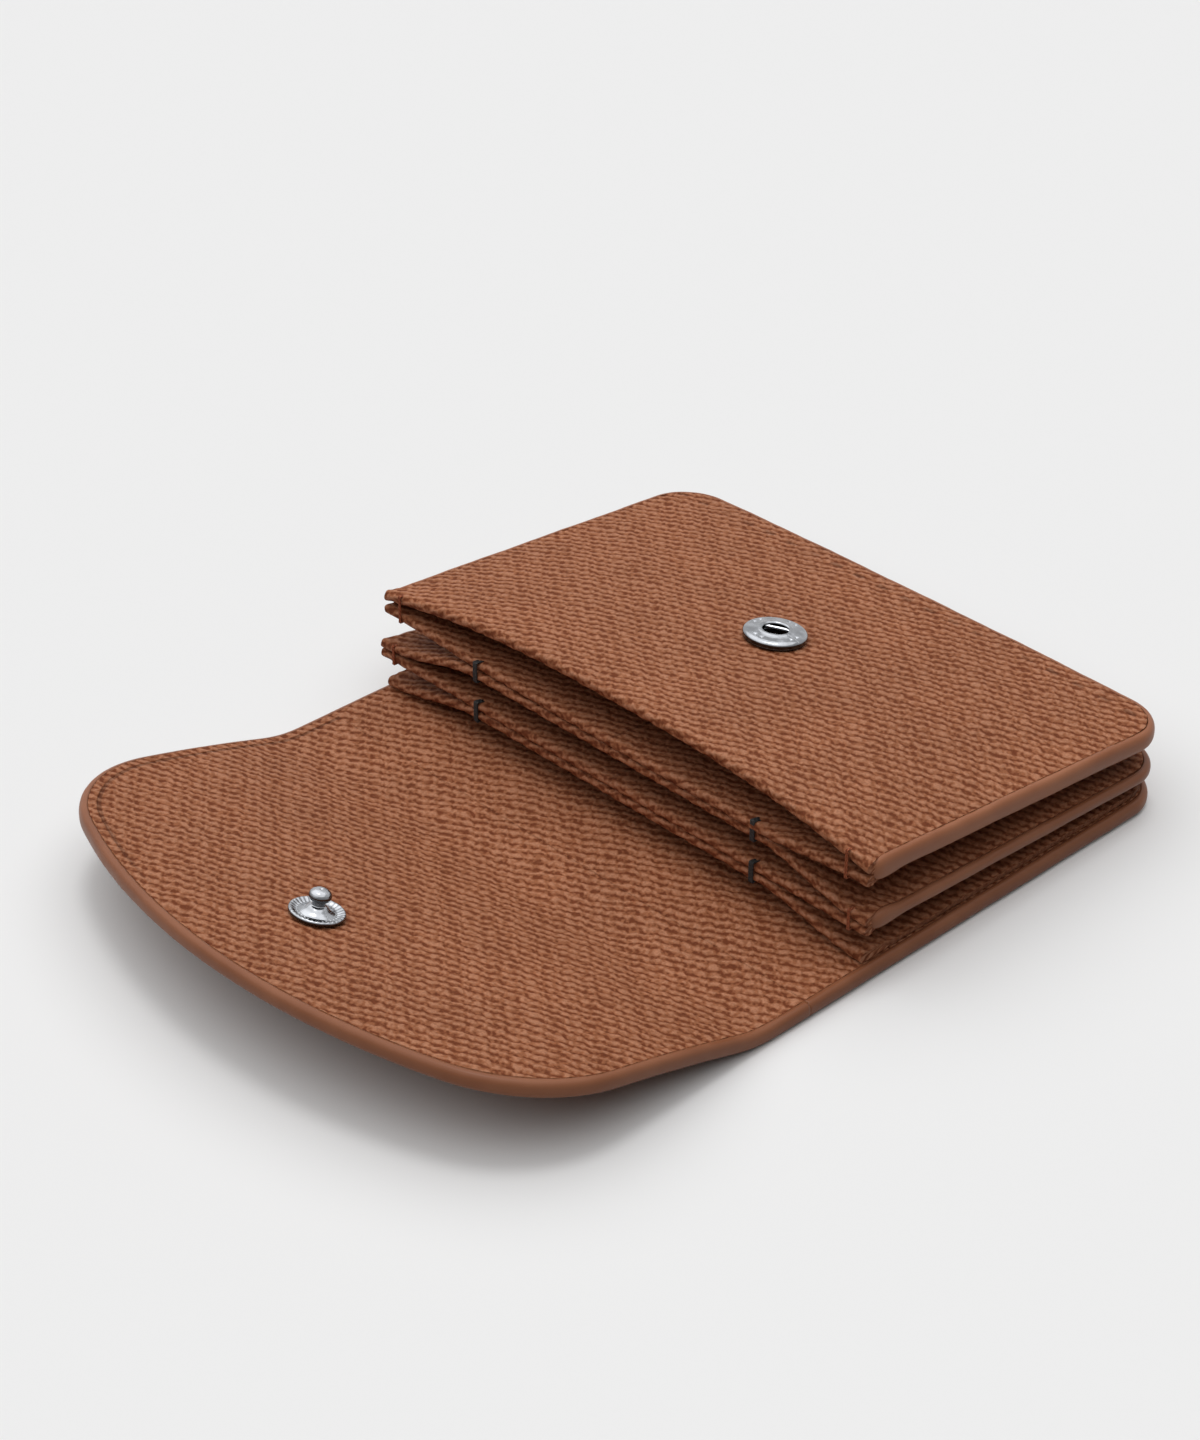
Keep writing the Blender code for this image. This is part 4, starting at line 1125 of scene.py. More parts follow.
def make_front_outer():
    """The front panel's outer leather: domed top, turned-in mouth, and a pit under the socket.

    Top: front_top + twist - dimple, less the pit, which is a smooth step of the distance to the socket.
    """
    look = bpy.context.scene.wallet_leather
    x = columns_across(CORNER_RADIUS, 0.0, FINE)
    across, way, z, length, rows = panel_rings(x, PANEL_OUTER, PANEL_THICKNESS, front_top)
    away = np.hypot(across, way - SOCKET_REACH)
    pit = 1.0 - smooth((away - PIT_RADIUS) / PIT_SLOPE)
    z[:, :rows] -= PIT_DEPTH * pit[:, :rows]
    z += twist(across, way) - dimple(away)
    y = way + mouth_bow(across, way) + skew(across, way) - HALF_DEPTH
    rings = np.stack([swell(across, way), y, z], axis=-1)
    place = wandered(across, length, 0.0)
    margin = np.where(length > 0.0, WALLET_DEPTH - way, 1.0)
    calm = 1.0 - smooth((SOCKET_RADIUS + CALM_RING - away) / CALM_FADE)
    rings = pressed(rings, place, look.relief, calm)
    skin = closed_mesh("front_outer_skin", [(rings, [rings.shape[1] - 1], place, margin)])
    material = leather_material("wallet_leather_front", True, groove=True, dashes=True)
    finish(skin, material, ["front_outer"])
    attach(skin, "front_pouch")


def make_front_lining():
    """The front panel's lining, from the end of the turned-in mouth to the bottom.

    Its faces are front_top + twist, less the outer leather, the gap and the socket's dimple.
    """
    x = columns_across(CORNER_RADIUS, 0.0, COARSE)
    far = pouch_reach(x, SKIN_INSET)[:, None]
    top = far + (HEM_DEPTH + LINING_START - far) * np.linspace(0.0, 1.0, LINING_ROWS)[None, :]
    way = np.concatenate([top, top[:, ::-1]], axis=1)
    across = np.broadcast_to(x[:, None], way.shape)
    drop = np.concatenate([np.zeros_like(top), np.full_like(top, PANEL_LINING)], axis=1)
    drop += PANEL_OUTER + SEAT_GAP + dimple(np.hypot(across, way - SOCKET_REACH))
    y = way + mouth_bow(across, way) + skew(across, way) - HALF_DEPTH
    rings = np.stack([across, y, front_top(across, way) + twist(across, way) - drop], axis=-1)
    flat = [LINING_ROWS - 1, 2 * LINING_ROWS - 1]
    skin = closed_mesh("front_lining_skin", [(rings, flat, wandered(across, way, 0.4), None)])
    # The lining gets a darker copy of the leather: painted shade inside the pouch
    material = leather_material("wallet_leather_pocket_painted_shade", False, tone=0.9)
    finish(skin, material, ["front_lining"])
    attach(skin, "front_pouch")


def make_leaf(number, side, material):
    """Half a leaf, from the wallet's middle to one side: a flat divider that drops to its gusset.

    Its faces are hem_top and hem_base, joined round the mouth by a half circle.
    """
    look = bpy.context.scene.wallet_leather
    x = columns_across(CORNER_RADIUS, 0.0, MEDIUM)
    middle = len(x) // 2
    x = x[middle:] if side == "right" else x[: middle + 1]
    across, way, z, length, rows = panel_rings(
        x, LEAF_THICKNESS, LEAF_HEM_THICKNESS + HEM_FULLNESS, lambda a, w: hem_top(number, a, w), MOUTH_ZONE)
    under = rows + NOSE_POINTS
    z[:, under:] = hem_base(number, across, way)[:, under:]
    y = way - HALF_DEPTH
    if number == 1:
        y = y + skew(across, way)
    elif number in (2, 3):
        y = y + proud(way) * smooth((np.abs(across) - SEAM_X) / GUSSET_REACH)
    rings = np.stack([swell(across, way) if number < 4 else across, y, z], axis=-1)
    place = wandered(across, length, 1.0 + number)
    rings = pressed(rings, place, look.relief)
    name = "leaf_%d_%s" % (number, side)
    skin = closed_mesh(name + "_skin", [(rings, [rings.shape[1] - 1], place, None)])
    divider = ["leaf_%d_divider" % number]
    finish(skin, material, divider + [name + "_gusset"])
    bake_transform(skin)


def fold_ends(fold, half):
    """Places on the lining where a fold's bend starts and ends."""
    return tuple(cover_point(0.0, fold - half, 0.0)), tuple(cover_point(0.0, fold + half, 0.0))


def cover_slab(name, part, top_depth, thickness, step, pressed_face, nodes, material):
    """One leather layer of the cover, either its rear half with half the spine, or its flap half.

    Its two faces are cover_point at its top depth and a thickness below, from the outline to the spine's
    middle. The face with the weave has rows a step apart, closer near the folds, and the other has few.
    """
    look = bpy.context.scene.wallet_leather
    rear = part == "rear"
    if rear:
        x = columns_across(CORNER_RADIUS, 0.0, step)
        far = -pouch_reach(x, SKIN_INSET)[:, None]
    else:
        corner_from = (FLAP_FRONT_RADIUS - SKIN_INSET) * math.cos(flap_corner()[3])
        x = columns_across(FLAP_CORNER_RADIUS, corner_from, step)
        far = flap_reach(x, SKIN_INSET)[:, None]
    faces = []
    for count in (int(FLAP_TIP / step), int(FLAP_TIP / COARSE)):
        share = np.linspace(0.0, 1.0, count)[None, :]
        if rear:
            share = np.interp(share, (0.0, COARSE_SHARE, 1.0), (0.0, COARSE_REACH, 1.0))
        faces.append(far + (SPINE_MIDDLE - far) * share)
    upper, lower = faces if pressed_face == "top" else faces[::-1]
    rows = upper.shape[1]
    arc = np.concatenate([upper, lower[:, ::-1]], axis=1)
    depth = np.full_like(arc, top_depth)
    depth[:, rows:] += thickness
    across = np.broadcast_to(x[:, None], arc.shape)
    if not rear:
        depth = depth + stud_seat(across, arc)
    place = wandered(across, -arc, 7.0 if top_depth == 0.0 else 11.0)
    push = (1.0 - relief_at(place)) * look.relief
    if pressed_face == "top":
        depth[:, :rows] += push[:, :rows]
    else:
        depth[:, rows:] -= push[:, rows:]
    rings = cover_point(across, arc, depth)
    margin = pouch_margin(across, -arc) if rear else flap_margin(across, arc)
    skin = closed_mesh(name, [(rings, [rows - 1, arc.shape[1] - 1], place, margin)])
    finish(skin, material, nodes)
    start, end = fold_ends(SPINE_FOLD, SPINE_BLEND) if rear else fold_ends(FLAP_FOLD, FLAP_BLEND)
    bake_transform(skin)


def bead_section():
    """A painted edge's section, from -1 at its foot to 1 at its top, and how far it stands out there.

    A full half round: out = bead * cos(t)**fullness, rise = sin(t)**fullness with its sign kept.
    """
    angle = np.linspace(-math.pi / 2, math.pi / 2, BEAD_POINTS)
    out = EDGE_BEAD * np.clip(np.cos(angle), 0.0, 1.0) ** BEAD_FULLNESS
    return out[None, :], (np.sign(angle) * np.abs(np.sin(angle)) ** BEAD_FULLNESS)[None, :]


def pouch_path(start):
    """The U of a pouch's edge from mouth to mouth, inset by the bead: X, way in and outward normal."""
    corner_start = WALLET_DEPTH - CORNER_RADIUS
    ramp = np.linspace(0.0, 1.0, 13)[:-1] ** 1.6
    side = np.concatenate([
        start + EDGE_ROUNDING * ramp, np.linspace(start + EDGE_ROUNDING, corner_start, 60)])
    corner = np.linspace(0.0, math.pi / 2, 22)[1:]
    radius = CORNER_RADIUS - EDGE_BEAD
    far = np.linspace(HALF_WIDTH - CORNER_RADIUS, 0.0, 46)[1:]
    x = np.concatenate([np.full_like(side, HALF_WIDTH - EDGE_BEAD),
                        HALF_WIDTH - CORNER_RADIUS + radius * np.cos(corner), far])
    way = np.concatenate([side, corner_start + radius * np.sin(corner),
                          np.full_like(far, WALLET_DEPTH - EDGE_BEAD)])
    out_x = np.concatenate([np.ones_like(side), np.cos(corner), np.zeros_like(far)])
    out_way = np.concatenate([np.zeros_like(side), np.sin(corner), np.ones_like(far)])
    return mirrored(x, way, out_x, out_way)


def flap_path():
    """The flap's edge from the spine's middle round to the spine's middle: X, arc and outward normal.

    A straight side, then arcs about the corner's centre and about the front curve's centre.
    """
    corner_x, front_centre, rise, meet = flap_corner()
    straight = np.linspace(SPINE_MIDDLE, front_centre + rise, 100)
    corner = np.linspace(0.0, meet, 60)[1:]
    front = np.linspace(meet, math.pi / 2, 90)[1:]
    small, large = FLAP_CORNER_RADIUS - EDGE_BEAD, FLAP_FRONT_RADIUS - EDGE_BEAD
    x = np.concatenate([np.full_like(straight, HALF_WIDTH - EDGE_BEAD),
                        corner_x + small * np.cos(corner), large * np.cos(front)])
    arc = np.concatenate([straight, front_centre + rise + small * np.sin(corner),
                          front_centre + large * np.sin(front)])
    out_x = np.concatenate([np.ones_like(straight), np.cos(corner), np.cos(front)])
    out_arc = np.concatenate([np.zeros_like(straight), np.sin(corner), np.sin(front)])
    return mirrored(x, arc, out_x, out_arc)


def uneven(run, size):
    """A slow unevenness along a painted edge: size times the sum of a few sine waves of the run."""
    return size * sum(share * np.sin(run * wave + phase) for wave, share, phase in UNEVEN_WAVES)


def make_pouch_edge(name, low, high, shift, material):
    """A pouch's painted edge: it starts behind the mouth's leather and rounds off there.

    Its section stands between the levels low and high, and a quarter circle makes it smaller at its ends.
    """
    x, way, out_x, out_way = pouch_path(EDGE_START)
    run = run_along(np.stack([x, way], axis=-1))
    share = np.clip((way - EDGE_START) / EDGE_ROUNDING, 0.0, 1.0)
    full = EDGE_END_FULLNESS + (1.0 - EDGE_END_FULLNESS) * np.sqrt(share * (2.0 - share))
    bottom = low(x, way) + EDGE_DROP / 2 + uneven(run, EDGE_UNEVEN)
    top = high(x, way) - EDGE_DROP + uneven(run + TOP_PHASE, EDGE_UNEVEN)
    out, rise = bead_section()
    x, way, full = x[:, None], way[:, None], full[:, None]
    ring_x = x + out_x[:, None] * out * full
    ring_y = way + out_way[:, None] * out * full + shift(ring_x, way) - HALF_DEPTH
    ring_z = (bottom + top)[:, None] / 2 + (top - bottom)[:, None] / 2 * rise * full
    rings = np.stack([ring_x, ring_y, ring_z], axis=-1)
    bead = closed_mesh(name + "_skin", [(rings, [rings.shape[1] - 1], None, None)])
    finish(bead, material, [name])
    return bead


def cover_bead(name, path, material, nodes):
    """A stretch of the cover's painted edge, whose section stands between the cover's two faces."""
    x, arc, out_x, out_arc = path
    out, rise = bead_section()
    run = run_along(np.stack([x, arc], axis=-1))
    depth = EDGE_DROP + (COVER_THICKNESS / 2 - EDGE_DROP) * (1.0 - rise)
    out = out * (1.0 + uneven(run, COVER_EDGE_UNEVEN))[:, None]
    rings = cover_point(x[:, None] + out_x[:, None] * out, arc[:, None] + out_arc[:, None] * out, depth)
    rings[..., 2] = np.maximum(rings[..., 2], 0.0)
    bead = closed_mesh(name, [(rings, [rings.shape[1] - 1], None, None)])
    return finish(bead, material, nodes)


def make_cover_edges(material):
    """The cover's painted edge: round the back with half the spine, and round the flap with the rest."""
    x, way, out_x, out_way = pouch_path(0.0)
    spine = np.linspace(SPINE_MIDDLE, 0.0, 40)[:-1]
    side = np.full_like(spine, HALF_WIDTH - EDGE_BEAD)
    one, none = np.ones_like(spine), np.zeros_like(spine)
    path = (np.concatenate([side, x, -side]), np.concatenate([spine, -way, spine[::-1]]),
            np.concatenate([one, out_x, -one]), np.concatenate([none, -out_way, none]))
    rear = cover_bead("rear_edge_skin", path, material, ["back_edge", "spine_left_edge", "spine_right_edge"])
    start, end = fold_ends(SPINE_FOLD, SPINE_BLEND)
    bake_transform(rear)
    flap = cover_bead("flap_edge_skin", flap_path(), material, ["flap_edge"])
    start, end = fold_ends(FLAP_FOLD, FLAP_BLEND)
    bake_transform(flap)


def tilted(rings, turn, y, z):
    """Rings made about Z, turned about X and moved to a place on the middle line."""
    cosine, sine = math.cos(turn), math.sin(turn)
    return np.stack([rings[..., 0], rings[..., 1] * cosine - rings[..., 2] * sine + y,
                     rings[..., 1] * sine + rings[..., 2] * cosine + z], axis=-1)


def at_socket(rings):
    """Rings made about Z, put onto the front panel at the socket, square to the leather."""
    rise = front_top(0.0, SOCKET_REACH + SLOPE_STEP) - front_top(0.0, SOCKET_REACH - SLOPE_STEP)
    turn = math.atan(float(rise) / (2 * SLOPE_STEP))
    seat = float(front_top(0.0, SOCKET_REACH)) - SOCKET_SINK
    return tilted(rings, turn, SOCKET_REACH - HALF_DEPTH, seat)


def at_stud(rings):
    """Rings made about Z, put onto the flap's lining at the stud, leaning with the leather."""
    axis = Vector((-math.sin(STUD_LEAN_TOWARD), math.cos(STUD_LEAN_TOWARD), 0.0))
    rings = rings @ np.array(Matrix.Rotation(STUD_LEAN, 3, axis)).T
    place = cover_point(0.0, STUD_REACH, 0.0)
    return tilted(rings, -float(cover_slope(STUD_REACH)), float(place[1]), float(place[2]))


def metal_skin(name, shells, material, node, body):
    """A piece of the snap, which rides on one body."""
    skin = closed_mesh(name, shells)
    finish(skin, material, [node])
    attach(skin, body)


def make_socket():
    """The socket's ring with eight dimples, its eyelet, and the hairpin spring across its mouth.

    Ring and eyelet are turned outlines. Each dimple takes depth * exp(-(distance / spread)**2) off the ring.
    """
    mouth = STUD_HEAD_RADIUS + MOUTH_CLEARANCE
    cavity = SOCKET_RADIUS - SOCKET_WALL
    lip = SOCKET_HEIGHT - SOCKET_LIP
    corners = [(SOCKET_RADIUS - METAL_STEP, METAL_FOOT)]
    corners += [(SOCKET_RADIUS * out, SOCKET_HEIGHT * up) for out, up in SOCKET_OUTLINE]
    corners += [(mouth, SOCKET_HEIGHT * SOCKET_MOUTH_HEIGHT), (mouth + METAL_STEP, lip),
                (cavity - CAVITY_SHOULDER, lip - METAL_STEP), (cavity, SOCKET_HEIGHT - 2 * SOCKET_LIP),
                (cavity, CAVITY_SHOULDER), (cavity - CAVITY_FLOOR, METAL_FOOT)]

    def dimpled(radius, height, angle):
        """One dimple at each side of every quarter turn."""
        circle = SOCKET_RADIUS * DIMPLE_CIRCLE
        gap = np.abs(np.mod(angle + math.pi / 4, math.pi / 2) - math.pi / 4)
        near = np.hypot((gap - DIMPLE_TURN) * circle, radius - circle)
        dent = np.exp(-((near / DIMPLE_SPREAD) ** 2))
        return radius, height - DIMPLE_DEPTH * dent * (height > DIMPLE_ABOVE)

    rings = turned_rings(split_outline(corners, METAL_STEP), 240, dimpled)
    # The ring's margin attribute holds how far it faces up, for its painted shade
    metal_skin("snap_socket_skin", [(at_socket(rings), [], None, facing(rings))],
               metal_material("wallet_metal_ring", tone=0.88, painted_facing_shade=True), "snap_socket", "front_pouch")

    bore = STUD_HEAD_RADIUS + HEAD_CLEARANCE
    wall = bore + EYELET_WALL
    rim = wall + EYELET_FLANGE
    cup = [(rim, EYELET_FLANGE_LOW), (rim, EYELET_FLANGE_HIGH), (bore, EYELET_FLANGE_HIGH),
           (bore, EYELET_THROAT), (bore - METAL_STEP, EYELET_FLOOR), (AXIS_GAP, EYELET_FLOOR),
           (AXIS_GAP, EYELET_BASE), (bore, EYELET_BASE), (wall, -EYELET_FOOT), (wall, EYELET_FOOT)]
    rings = turned_rings(split_outline(cup, 2 * METAL_STEP), 72)
    # The eyelet sits deep in the socket's mouth and gets a near-black copy of the plating: painted shade
    metal_skin("socket_eyelet_skin", [(at_socket(rings), [], None, None)],
               metal_material("wallet_metal_painted_shade", tone=0.16), "socket_eyelet", "front_pouch")

    leg = STUD_NECK_RADIUS + SPRING_CLEARANCE + SPRING_RADIUS
    turn = np.linspace(0.0, math.pi, 25)
    down = np.linspace(-SPRING_LEG, SPRING_LEG / 2, 12)[:-1]
    x = np.concatenate([np.full_like(down, leg), leg * np.cos(turn), np.full_like(down, -leg)])
    y = np.concatenate([down, SPRING_LEG / 2 + leg * np.sin(turn), down[::-1]])
    cosine, sine = math.cos(SPRING_TURN), math.sin(SPRING_TURN)
    path = np.stack([x * cosine - y * sine, x * sine + y * cosine, np.full_like(x, SPRING_HEIGHT)], axis=-1)
    metal_skin("socket_spring_skin", [(at_socket(tube(path, SPRING_RADIUS, 12)), [], None, None)],
               metal_material("wallet_metal_spring", tone=2.6), "socket_spring", "front_pouch")


def make_stud():
    """The stud: a dished flange with a rolled, finely fluted rim, a bell-shaped hub and a ball head.

    A turned outline, with depth * (1 + cos(flutes * angle)) / 2 off the band between hub and rim.
    """
    head = STUD_HEIGHT - STUD_NECK_HEIGHT
    corners = [(STUD_BORE, METAL_FOOT), (STUD_FLANGE_RADIUS * STUD_FOOT_REACH, METAL_FOOT)]
    corners += [(STUD_FLANGE_RADIUS * out, STUD_FLANGE_HEIGHT * up) for out, up in STUD_RIM_OUTLINE]
    corners += [(STUD_HUB_RADIUS * out, STUD_HUB_HEIGHT * up) for out, up in STUD_HUB_OUTLINE]
    corners += [(STUD_NECK_RADIUS, STUD_NECK_FOOT), (STUD_NECK_RADIUS, STUD_NECK_HEIGHT)]
    corners += [(STUD_HEAD_RADIUS * out, STUD_NECK_HEIGHT + head * up) for out, up in STUD_HEAD_OUTLINE]
    corners += [(AXIS_GAP, STUD_FLANGE_HEIGHT), (STUD_BORE, STUD_FLANGE_HEIGHT)]

    def fluted(radius, height, angle):
        """Flutes on the flange, between its hub and its rolled rim."""
        inner, outer = smooth((radius - FLUTE_FROM) / FLUTE_FADE), smooth((radius - FLUTE_TO) / FLUTE_FADE)
        flute = 0.5 + 0.5 * np.cos(FLUTES * angle)
        return radius, height - FLUTE_DEPTH * inner * (1.0 - outer) * flute * (height > FLUTE_ABOVE)

    rings = turned_rings(split_outline(corners, METAL_STEP), 256, fluted)
    # The stud's margin attribute holds how far it faces up, for its painted shade
    metal_skin("snap_stud_skin", [(at_stud(rings), [], None, facing(rings))],
               metal_material("wallet_metal_stud", painted_facing_shade=True), "snap_stud", "flap")


def tack_shells(x, top, bottom, shift, strands, width, radius, stand, seed):
    """Strands of thread side by side round the mouth of two layers, from one outer face to the other.

    They stand this far off the leather's skin, shift forward with the mouth, round it as half an ellipse,
    and their ends lean aside and sink into the leather with the cube of the way in.
    """
    shells = []
    middle = (float(top(0.0)) + float(bottom(0.0))) / 2
    half = (float(top(0.0)) - float(bottom(0.0))) / 2 + stand
    turn = np.linspace(math.pi / 2, -math.pi / 2, 21)
    for n in range(strands):
        px = x + width * (n - (strands - 1) / 2)
        reach = TACK_REACH * (STRAND_REACH + STRAND_REACH_CHANGE * math.sin(seed * 1.7 + n))
        way = np.linspace(reach, 0.0, 12)[:-1]
        lean = STRAND_LEAN * math.sin(seed + 2.4 * n) * way / reach
        tuck = stand - STRAND_TUCK * (way / reach) ** 3
        path = np.concatenate([
            np.stack([px + lean, way, top(way) + tuck], axis=-1),
            np.stack([px + 0.0 * turn, -stand * np.cos(turn), middle + half * np.sin(turn)], axis=-1),
            np.stack([px - lean, way, bottom(way) - tuck], axis=-1)[::-1],
        ]) + [0.0, shift - HALF_DEPTH, 0.0]
        sides = np.linspace(0.0, 1.0, STRAND_SIDES)[None, :]
        place = np.stack(np.broadcast_arrays(run_along(path)[:, None], sides), axis=-1)
        shells.append((tube(path, radius, STRAND_SIDES), [], place, None))
    return shells


def make_tacks():
    """Black bar tacks on the two leaf pairs, and orange-brown tacks at the pouch corners."""
    look = bpy.context.scene.wallet_thread
    black = thread_material("wallet_thread_black", tuple(look.bar))
    brown = thread_material("wallet_thread_brown", tuple(look.corner))
    corner_x = HALF_WIDTH - CORNER_TACK_INSET

    def face(shape, number, x):
        """A leaf's upper or lower face over one place across."""
        return lambda w: shape(number, x, w)

    for side, sign in (("left", -1.0), ("right", 1.0)):
        bar_x = sign * (SEAM_X - SEAT_GAP / 2 - TACK_RADIUS - TACK_CLEARANCE)
        front_x = sign * (corner_x - CORNER_TACK_SPACING)
        middle_x = sign * corner_x
        upper = (face(hem_top, 1, bar_x), face(hem_base, 2, bar_x), 0.0)
        lower = (face(hem_top, 3, bar_x), face(hem_base, 4, bar_x), 0.0)
        middle = (face(hem_top, 2, middle_x), face(hem_base, 3, middle_x), proud(0.0))
        front = (lambda w, x=front_x: front_top(x, w) + twist(x, w), face(hem_base, 1, front_x),
                 skew(front_x, 0.0))
        sets = (
            ("upper_bar_tack_", bar_x, upper, BAR_THREAD, black, "upper_divider"),
            ("lower_bar_tack_", bar_x, lower, BAR_THREAD, black, "lower_divider"),
            ("front_corner_tack_", front_x, front, CORNER_THREAD, brown, "front_pouch"),
            ("middle_corner_tack_", middle_x, middle, CORNER_THREAD, brown, "middle_pouch"),
        )
        for n, (name, x, layers, thread, material, body) in enumerate(sets):
            tack = closed_mesh(name + side + "_skin", tack_shells(x, *layers, *thread, n + sign))
            finish(tack, material, [name + side])
            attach(tack, body)


def seen_directly(n):
    """1 where the camera, a reflection or a refraction looks, and 0 where light only spreads."""
    rays = n.add("ShaderNodeLightPath")
    seen = n.math("MAXIMUM", rays.outputs["Is Camera Ray"], rays.outputs["Is Glossy Ray"])
    return n.math("MAXIMUM", seen, rays.outputs["Is Transmission Ray"])


class WALLET_OT_front(Operator):
    """Builds the front panel: its domed outer leather and its lining"""

    bl_idname = "wallet.front"
    bl_label = "Front panel"

    def execute(self, context):
        make_front_outer()
        make_front_lining()
        return {"FINISHED"}


class WALLET_OT_leaves(Operator):
    """Builds the four hemmed leaves of the fan, each in two halves that bend at their seams"""

    bl_idname = "wallet.leaves"
    bl_label = "Leaves"

    def execute(self, context):
        # The leaves get a darker copy of the leather: painted shade between the pouches
        material = leather_material("wallet_leather_leaf_painted_shade", True, tone=0.94)
        for number in (1, 2, 3, 4):
            for side in ("left", "right"):
                make_leaf(number, side, material)
        return {"FINISHED"}


class WALLET_OT_cover(Operator):
    """Builds the cover's lining and outer leather, each in a rear half and a flap half"""

    bl_idname = "wallet.cover"
    bl_label = "Cover"

    def execute(self, context):
        outer_top = COVER_LINING + COVER_BOARD + 2 * SEAT_GAP
        lining = leather_material("wallet_leather_lining", True, groove=True)
        outer = leather_material("wallet_leather_outer", True)
        cover_slab("flap_lining_skin", "flap", 0.0, COVER_LINING, FINE, "top",
                   ["flap_lining", "spine_lining"], lining)
        cover_slab("rear_lining_skin", "rear", 0.0, COVER_LINING, MEDIUM, "top",
                   ["back_lining", "spine_lining"], leather_material("wallet_leather_rear", True))
        cover_slab("flap_outer_skin", "flap", outer_top, COVER_OUTER, MEDIUM, "bottom",
                   ["flap_outer", "spine_outer"], outer)
        cover_slab("rear_outer_skin", "rear", outer_top, COVER_OUTER, MEDIUM, "bottom",
                   ["back_outer", "spine_outer"], outer)
        return {"FINISHED"}


class WALLET_OT_edges(Operator):
    """Builds the painted edges of the pouches and of the cover"""

    bl_idname = "wallet.edges"
    bl_label = "Painted edges"

    def execute(self, context):
        paint = edge_material("wallet_edge_paint")
        # The front pouch's edge gets a paler copy of the paint: painted light on the top of the fan
        front = make_pouch_edge("front_edge", lambda x, y: front_base(y) + twist(x, y),
                                lambda x, y: front_top(x, y) + twist(x, y), skew,
                                edge_material("wallet_edge_paint_front_painted_light", tone=1.17))
        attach(front, "front_pouch")
        middle = make_pouch_edge("middle_edge", lambda x, y: middle_base(y), lambda x, y: middle_top(y),
                                 lambda x, y: proud(y) + 0.0 * x, paint)
        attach(middle, "middle_pouch")
        make_cover_edges(paint)
        return {"FINISHED"}


class WALLET_OT_snap(Operator):
    """Builds the snap: the dimpled socket with its spring, and the stud"""

    bl_idname = "wallet.snap"
    bl_label = "Snap"

    def execute(self, context):
        make_socket()
        make_stud()
        return {"FINISHED"}


class WALLET_OT_threads(Operator):
    """Builds the bar tacks and the corner tacks"""

    bl_idname = "wallet.threads"
    bl_label = "Threads"

    def execute(self, context):
        make_tacks()
        return {"FINISHED"}


class WALLET_OT_boards(Operator):
    """Gives the solids that stay in view from the CAD part their finish"""

    bl_idname = "wallet.boards"
    bl_label = "Boards and post"

    def execute(self, context):
        board = board_material()
        post = metal_material("wallet_metal_post")
        for name, material in (("back_board", board), ("spine_board", board), ("flap_board", board),
                               ("stud_post", post)):
            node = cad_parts[name]
            node.data.materials.clear()
            node.data.materials.append(material)
        return {"FINISHED"}


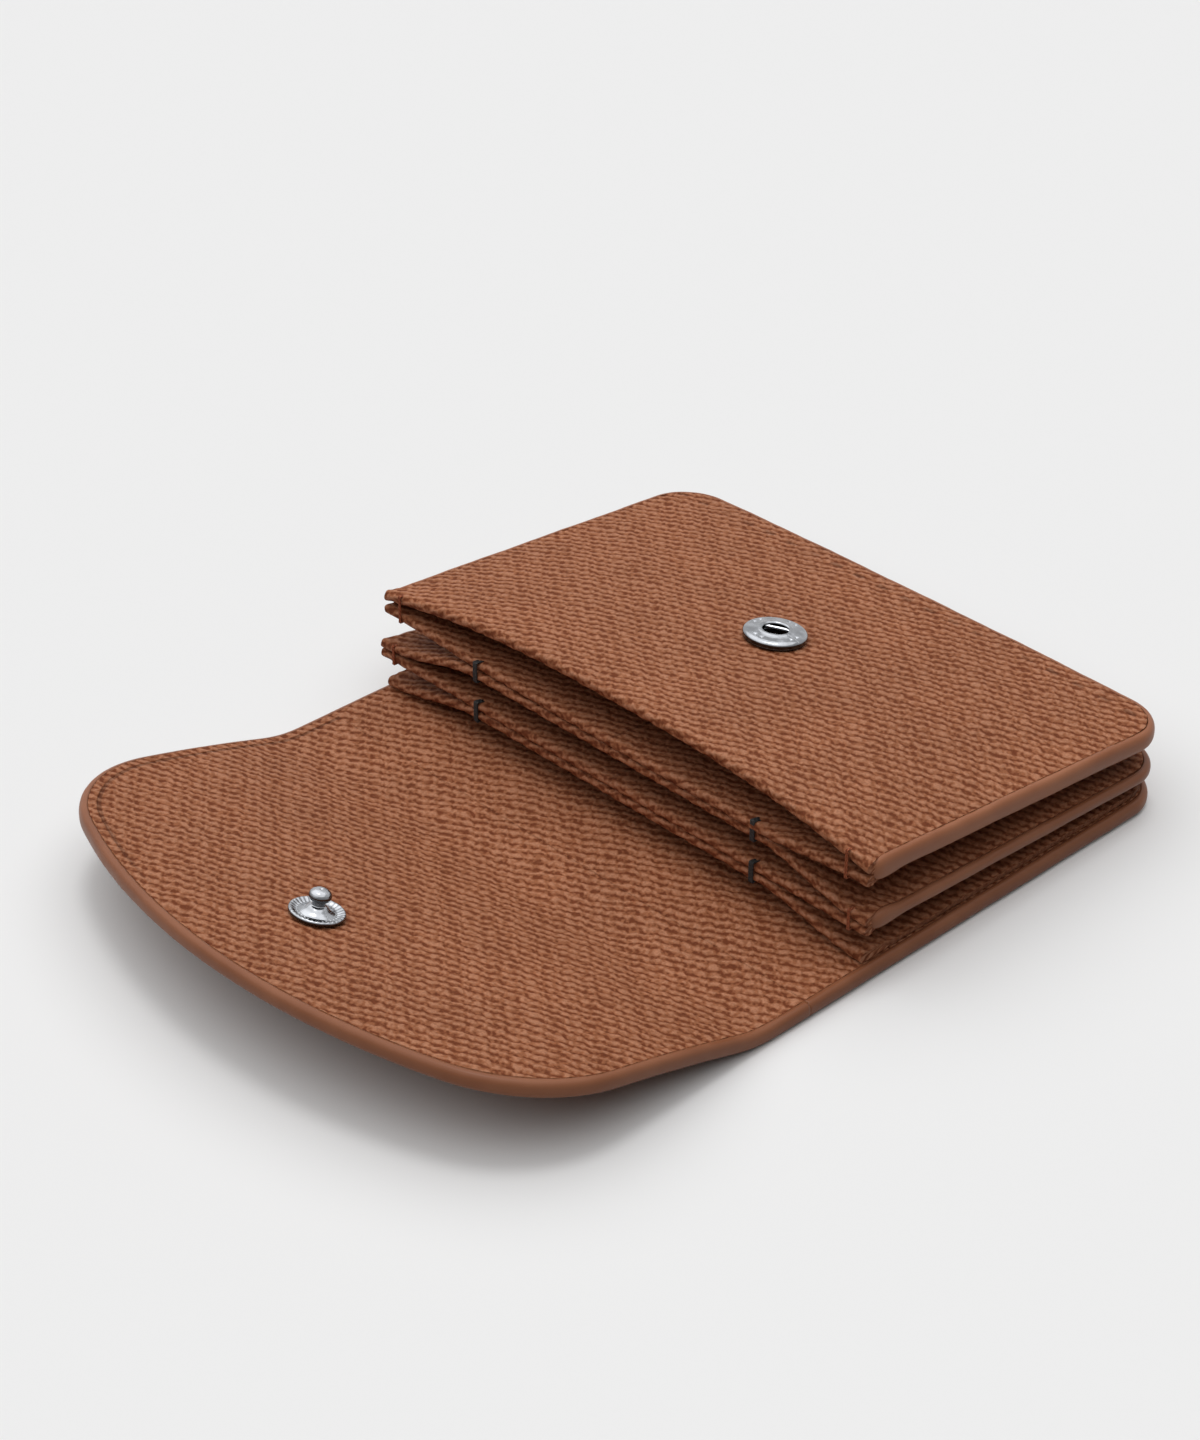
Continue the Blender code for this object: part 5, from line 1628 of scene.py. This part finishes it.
class WALLET_OT_stage(Operator):
    """Sets the camera, the pale floor and the soft light"""

    bl_idname = "wallet.stage"
    bl_label = "Stage"

    def execute(self, context):
        look = context.scene.wallet_stage
        scene = context.scene
        for old in [o for o in scene.objects if o.type in ("CAMERA", "LIGHT")]:
            bpy.data.objects.remove(old, do_unlink=True)
        if "Cube" in bpy.data.objects:
            bpy.data.objects.remove(bpy.data.objects["Cube"], do_unlink=True)

        half = look.floor_size / 2
        mesh = bpy.data.meshes.new("stage_floor")
        mesh.from_pydata([(-half, -half, 0.0), (half, -half, 0.0), (half, half, 0.0), (-half, half, 0.0)],
                         [], [(0, 1, 2, 3)])
        floor = bpy.data.objects.new("stage_floor", mesh)
        scene.collection.objects.link(floor)
        floor.location.z = -FLOOR_DROP
        material, n, shader = new_material("stage_floor", (look.floor,) * 3, 1.0)
        shader.inputs["Specular IOR Level"].default_value = 0.0
        n.link(n.mix(seen_directly(n), (look.bounce,) * 3, (look.floor,) * 3), shader.inputs["Base Color"])
        mesh.materials.append(material)

        level = math.cos(CAMERA_ELEVATION)
        back = Vector((math.sin(CAMERA_AZIMUTH) * level, -math.cos(CAMERA_AZIMUTH) * level,
                       math.sin(CAMERA_ELEVATION)))
        right = Vector((math.cos(CAMERA_AZIMUTH), math.sin(CAMERA_AZIMUTH), 0.0))
        up = back.cross(right)
        cosine, sine = math.cos(CAMERA_ROLL), math.sin(CAMERA_ROLL)
        right, up = cosine * right + sine * up, cosine * up - sine * right
        camera = bpy.data.cameras.new("camera")
        camera.lens = CAMERA_LENS
        camera.sensor_width = CAMERA_SENSOR
        camera.clip_start = 0.01
        camera.clip_end = 50.0
        eye = bpy.data.objects.new("camera", camera)
        scene.collection.objects.link(eye)
        eye.location = Vector(CAMERA_AIM) + back * CAMERA_DISTANCE
        eye.rotation_mode = "QUATERNION"
        eye.rotation_quaternion = Matrix((right, up, back)).transposed().to_quaternion()
        scene.camera = eye

        for name, strength, angle, toward in (
                ("overhead_wide", look.wide, look.wide_angle, WIDE_FROM),
                ("overhead_narrow", look.narrow, look.narrow_angle, NARROW_FROM)):
            lamp = bpy.data.lights.new(name, "SUN")
            lamp.energy = strength
            lamp.angle = math.radians(angle)
            sun = bpy.data.objects.new(name, lamp)
            scene.collection.objects.link(sun)
            sun.rotation_mode = "QUATERNION"
            sun.rotation_quaternion = Vector(toward).to_track_quat("Z", "Y")

        world = bpy.data.worlds.new("stage_world")
        scene.world = world
        world.use_nodes = True
        n = Nodes(world.node_tree)
        for node in list(world.node_tree.nodes):
            world.node_tree.nodes.remove(node)
        seen = seen_directly(n)
        sky = n.add("ShaderNodeBackground")
        sky.inputs["Color"].default_value = (1.0, 1.0, 1.0, 1.0)
        sky.inputs["Strength"].default_value = look.dome
        plain = n.add("ShaderNodeBackground")
        plain.inputs["Color"].default_value = (look.floor,) * 3 + (1.0,)
        choose = n.add("ShaderNodeMixShader")
        n.link(seen, choose.inputs[0])
        n.link(sky.outputs[0], choose.inputs[1])
        n.link(plain.outputs[0], choose.inputs[2])
        n.link(choose.outputs[0], n.add("ShaderNodeOutputWorld").inputs["Surface"])
        scene.view_settings.view_transform = "Standard"
        return {"FINISHED"}


class WALLET_PT_panel(Panel):
    """Lists the wallet's building steps"""

    bl_label = "Card wallet"
    bl_space_type = "VIEW_3D"
    bl_region_type = "UI"
    bl_category = "Wallet"

    def draw(self, context):
        for step in STEPS:
            self.layout.operator(step.bl_idname)


STEPS = (
    WALLET_OT_front, WALLET_OT_leaves, WALLET_OT_cover, WALLET_OT_edges, WALLET_OT_snap,
    WALLET_OT_threads, WALLET_OT_boards, WALLET_OT_stage,
)
LOOKS = (
    ("wallet_leather", LeatherLook), ("wallet_edge", EdgeLook),
    ("wallet_metal", MetalLook), ("wallet_thread", ThreadLook), ("wallet_stage", StageLook),
)


def register():
    """Registers the property groups, the operators and the panel."""
    for name, group in LOOKS:
        bpy.utils.register_class(group)
        setattr(bpy.types.Scene, name, PointerProperty(type=group))
    for step in (*STEPS, WALLET_PT_panel):
        bpy.utils.register_class(step)


def unregister():
    """Takes away what register added, in reverse order."""
    for step in reversed((*STEPS, WALLET_PT_panel)):
        bpy.utils.unregister_class(step)
    for name, group in reversed(LOOKS):
        delattr(bpy.types.Scene, name)
        bpy.utils.unregister_class(group)


def main():
    """Builds every piece and the stage."""
    register()
    bpy.ops.wallet.front()
    bpy.ops.wallet.leaves()
    bpy.ops.wallet.cover()
    bpy.ops.wallet.edges()
    bpy.ops.wallet.snap()
    bpy.ops.wallet.threads()
    bpy.ops.wallet.boards()
    bpy.ops.wallet.stage()


if __name__ == "__main__":
    main()
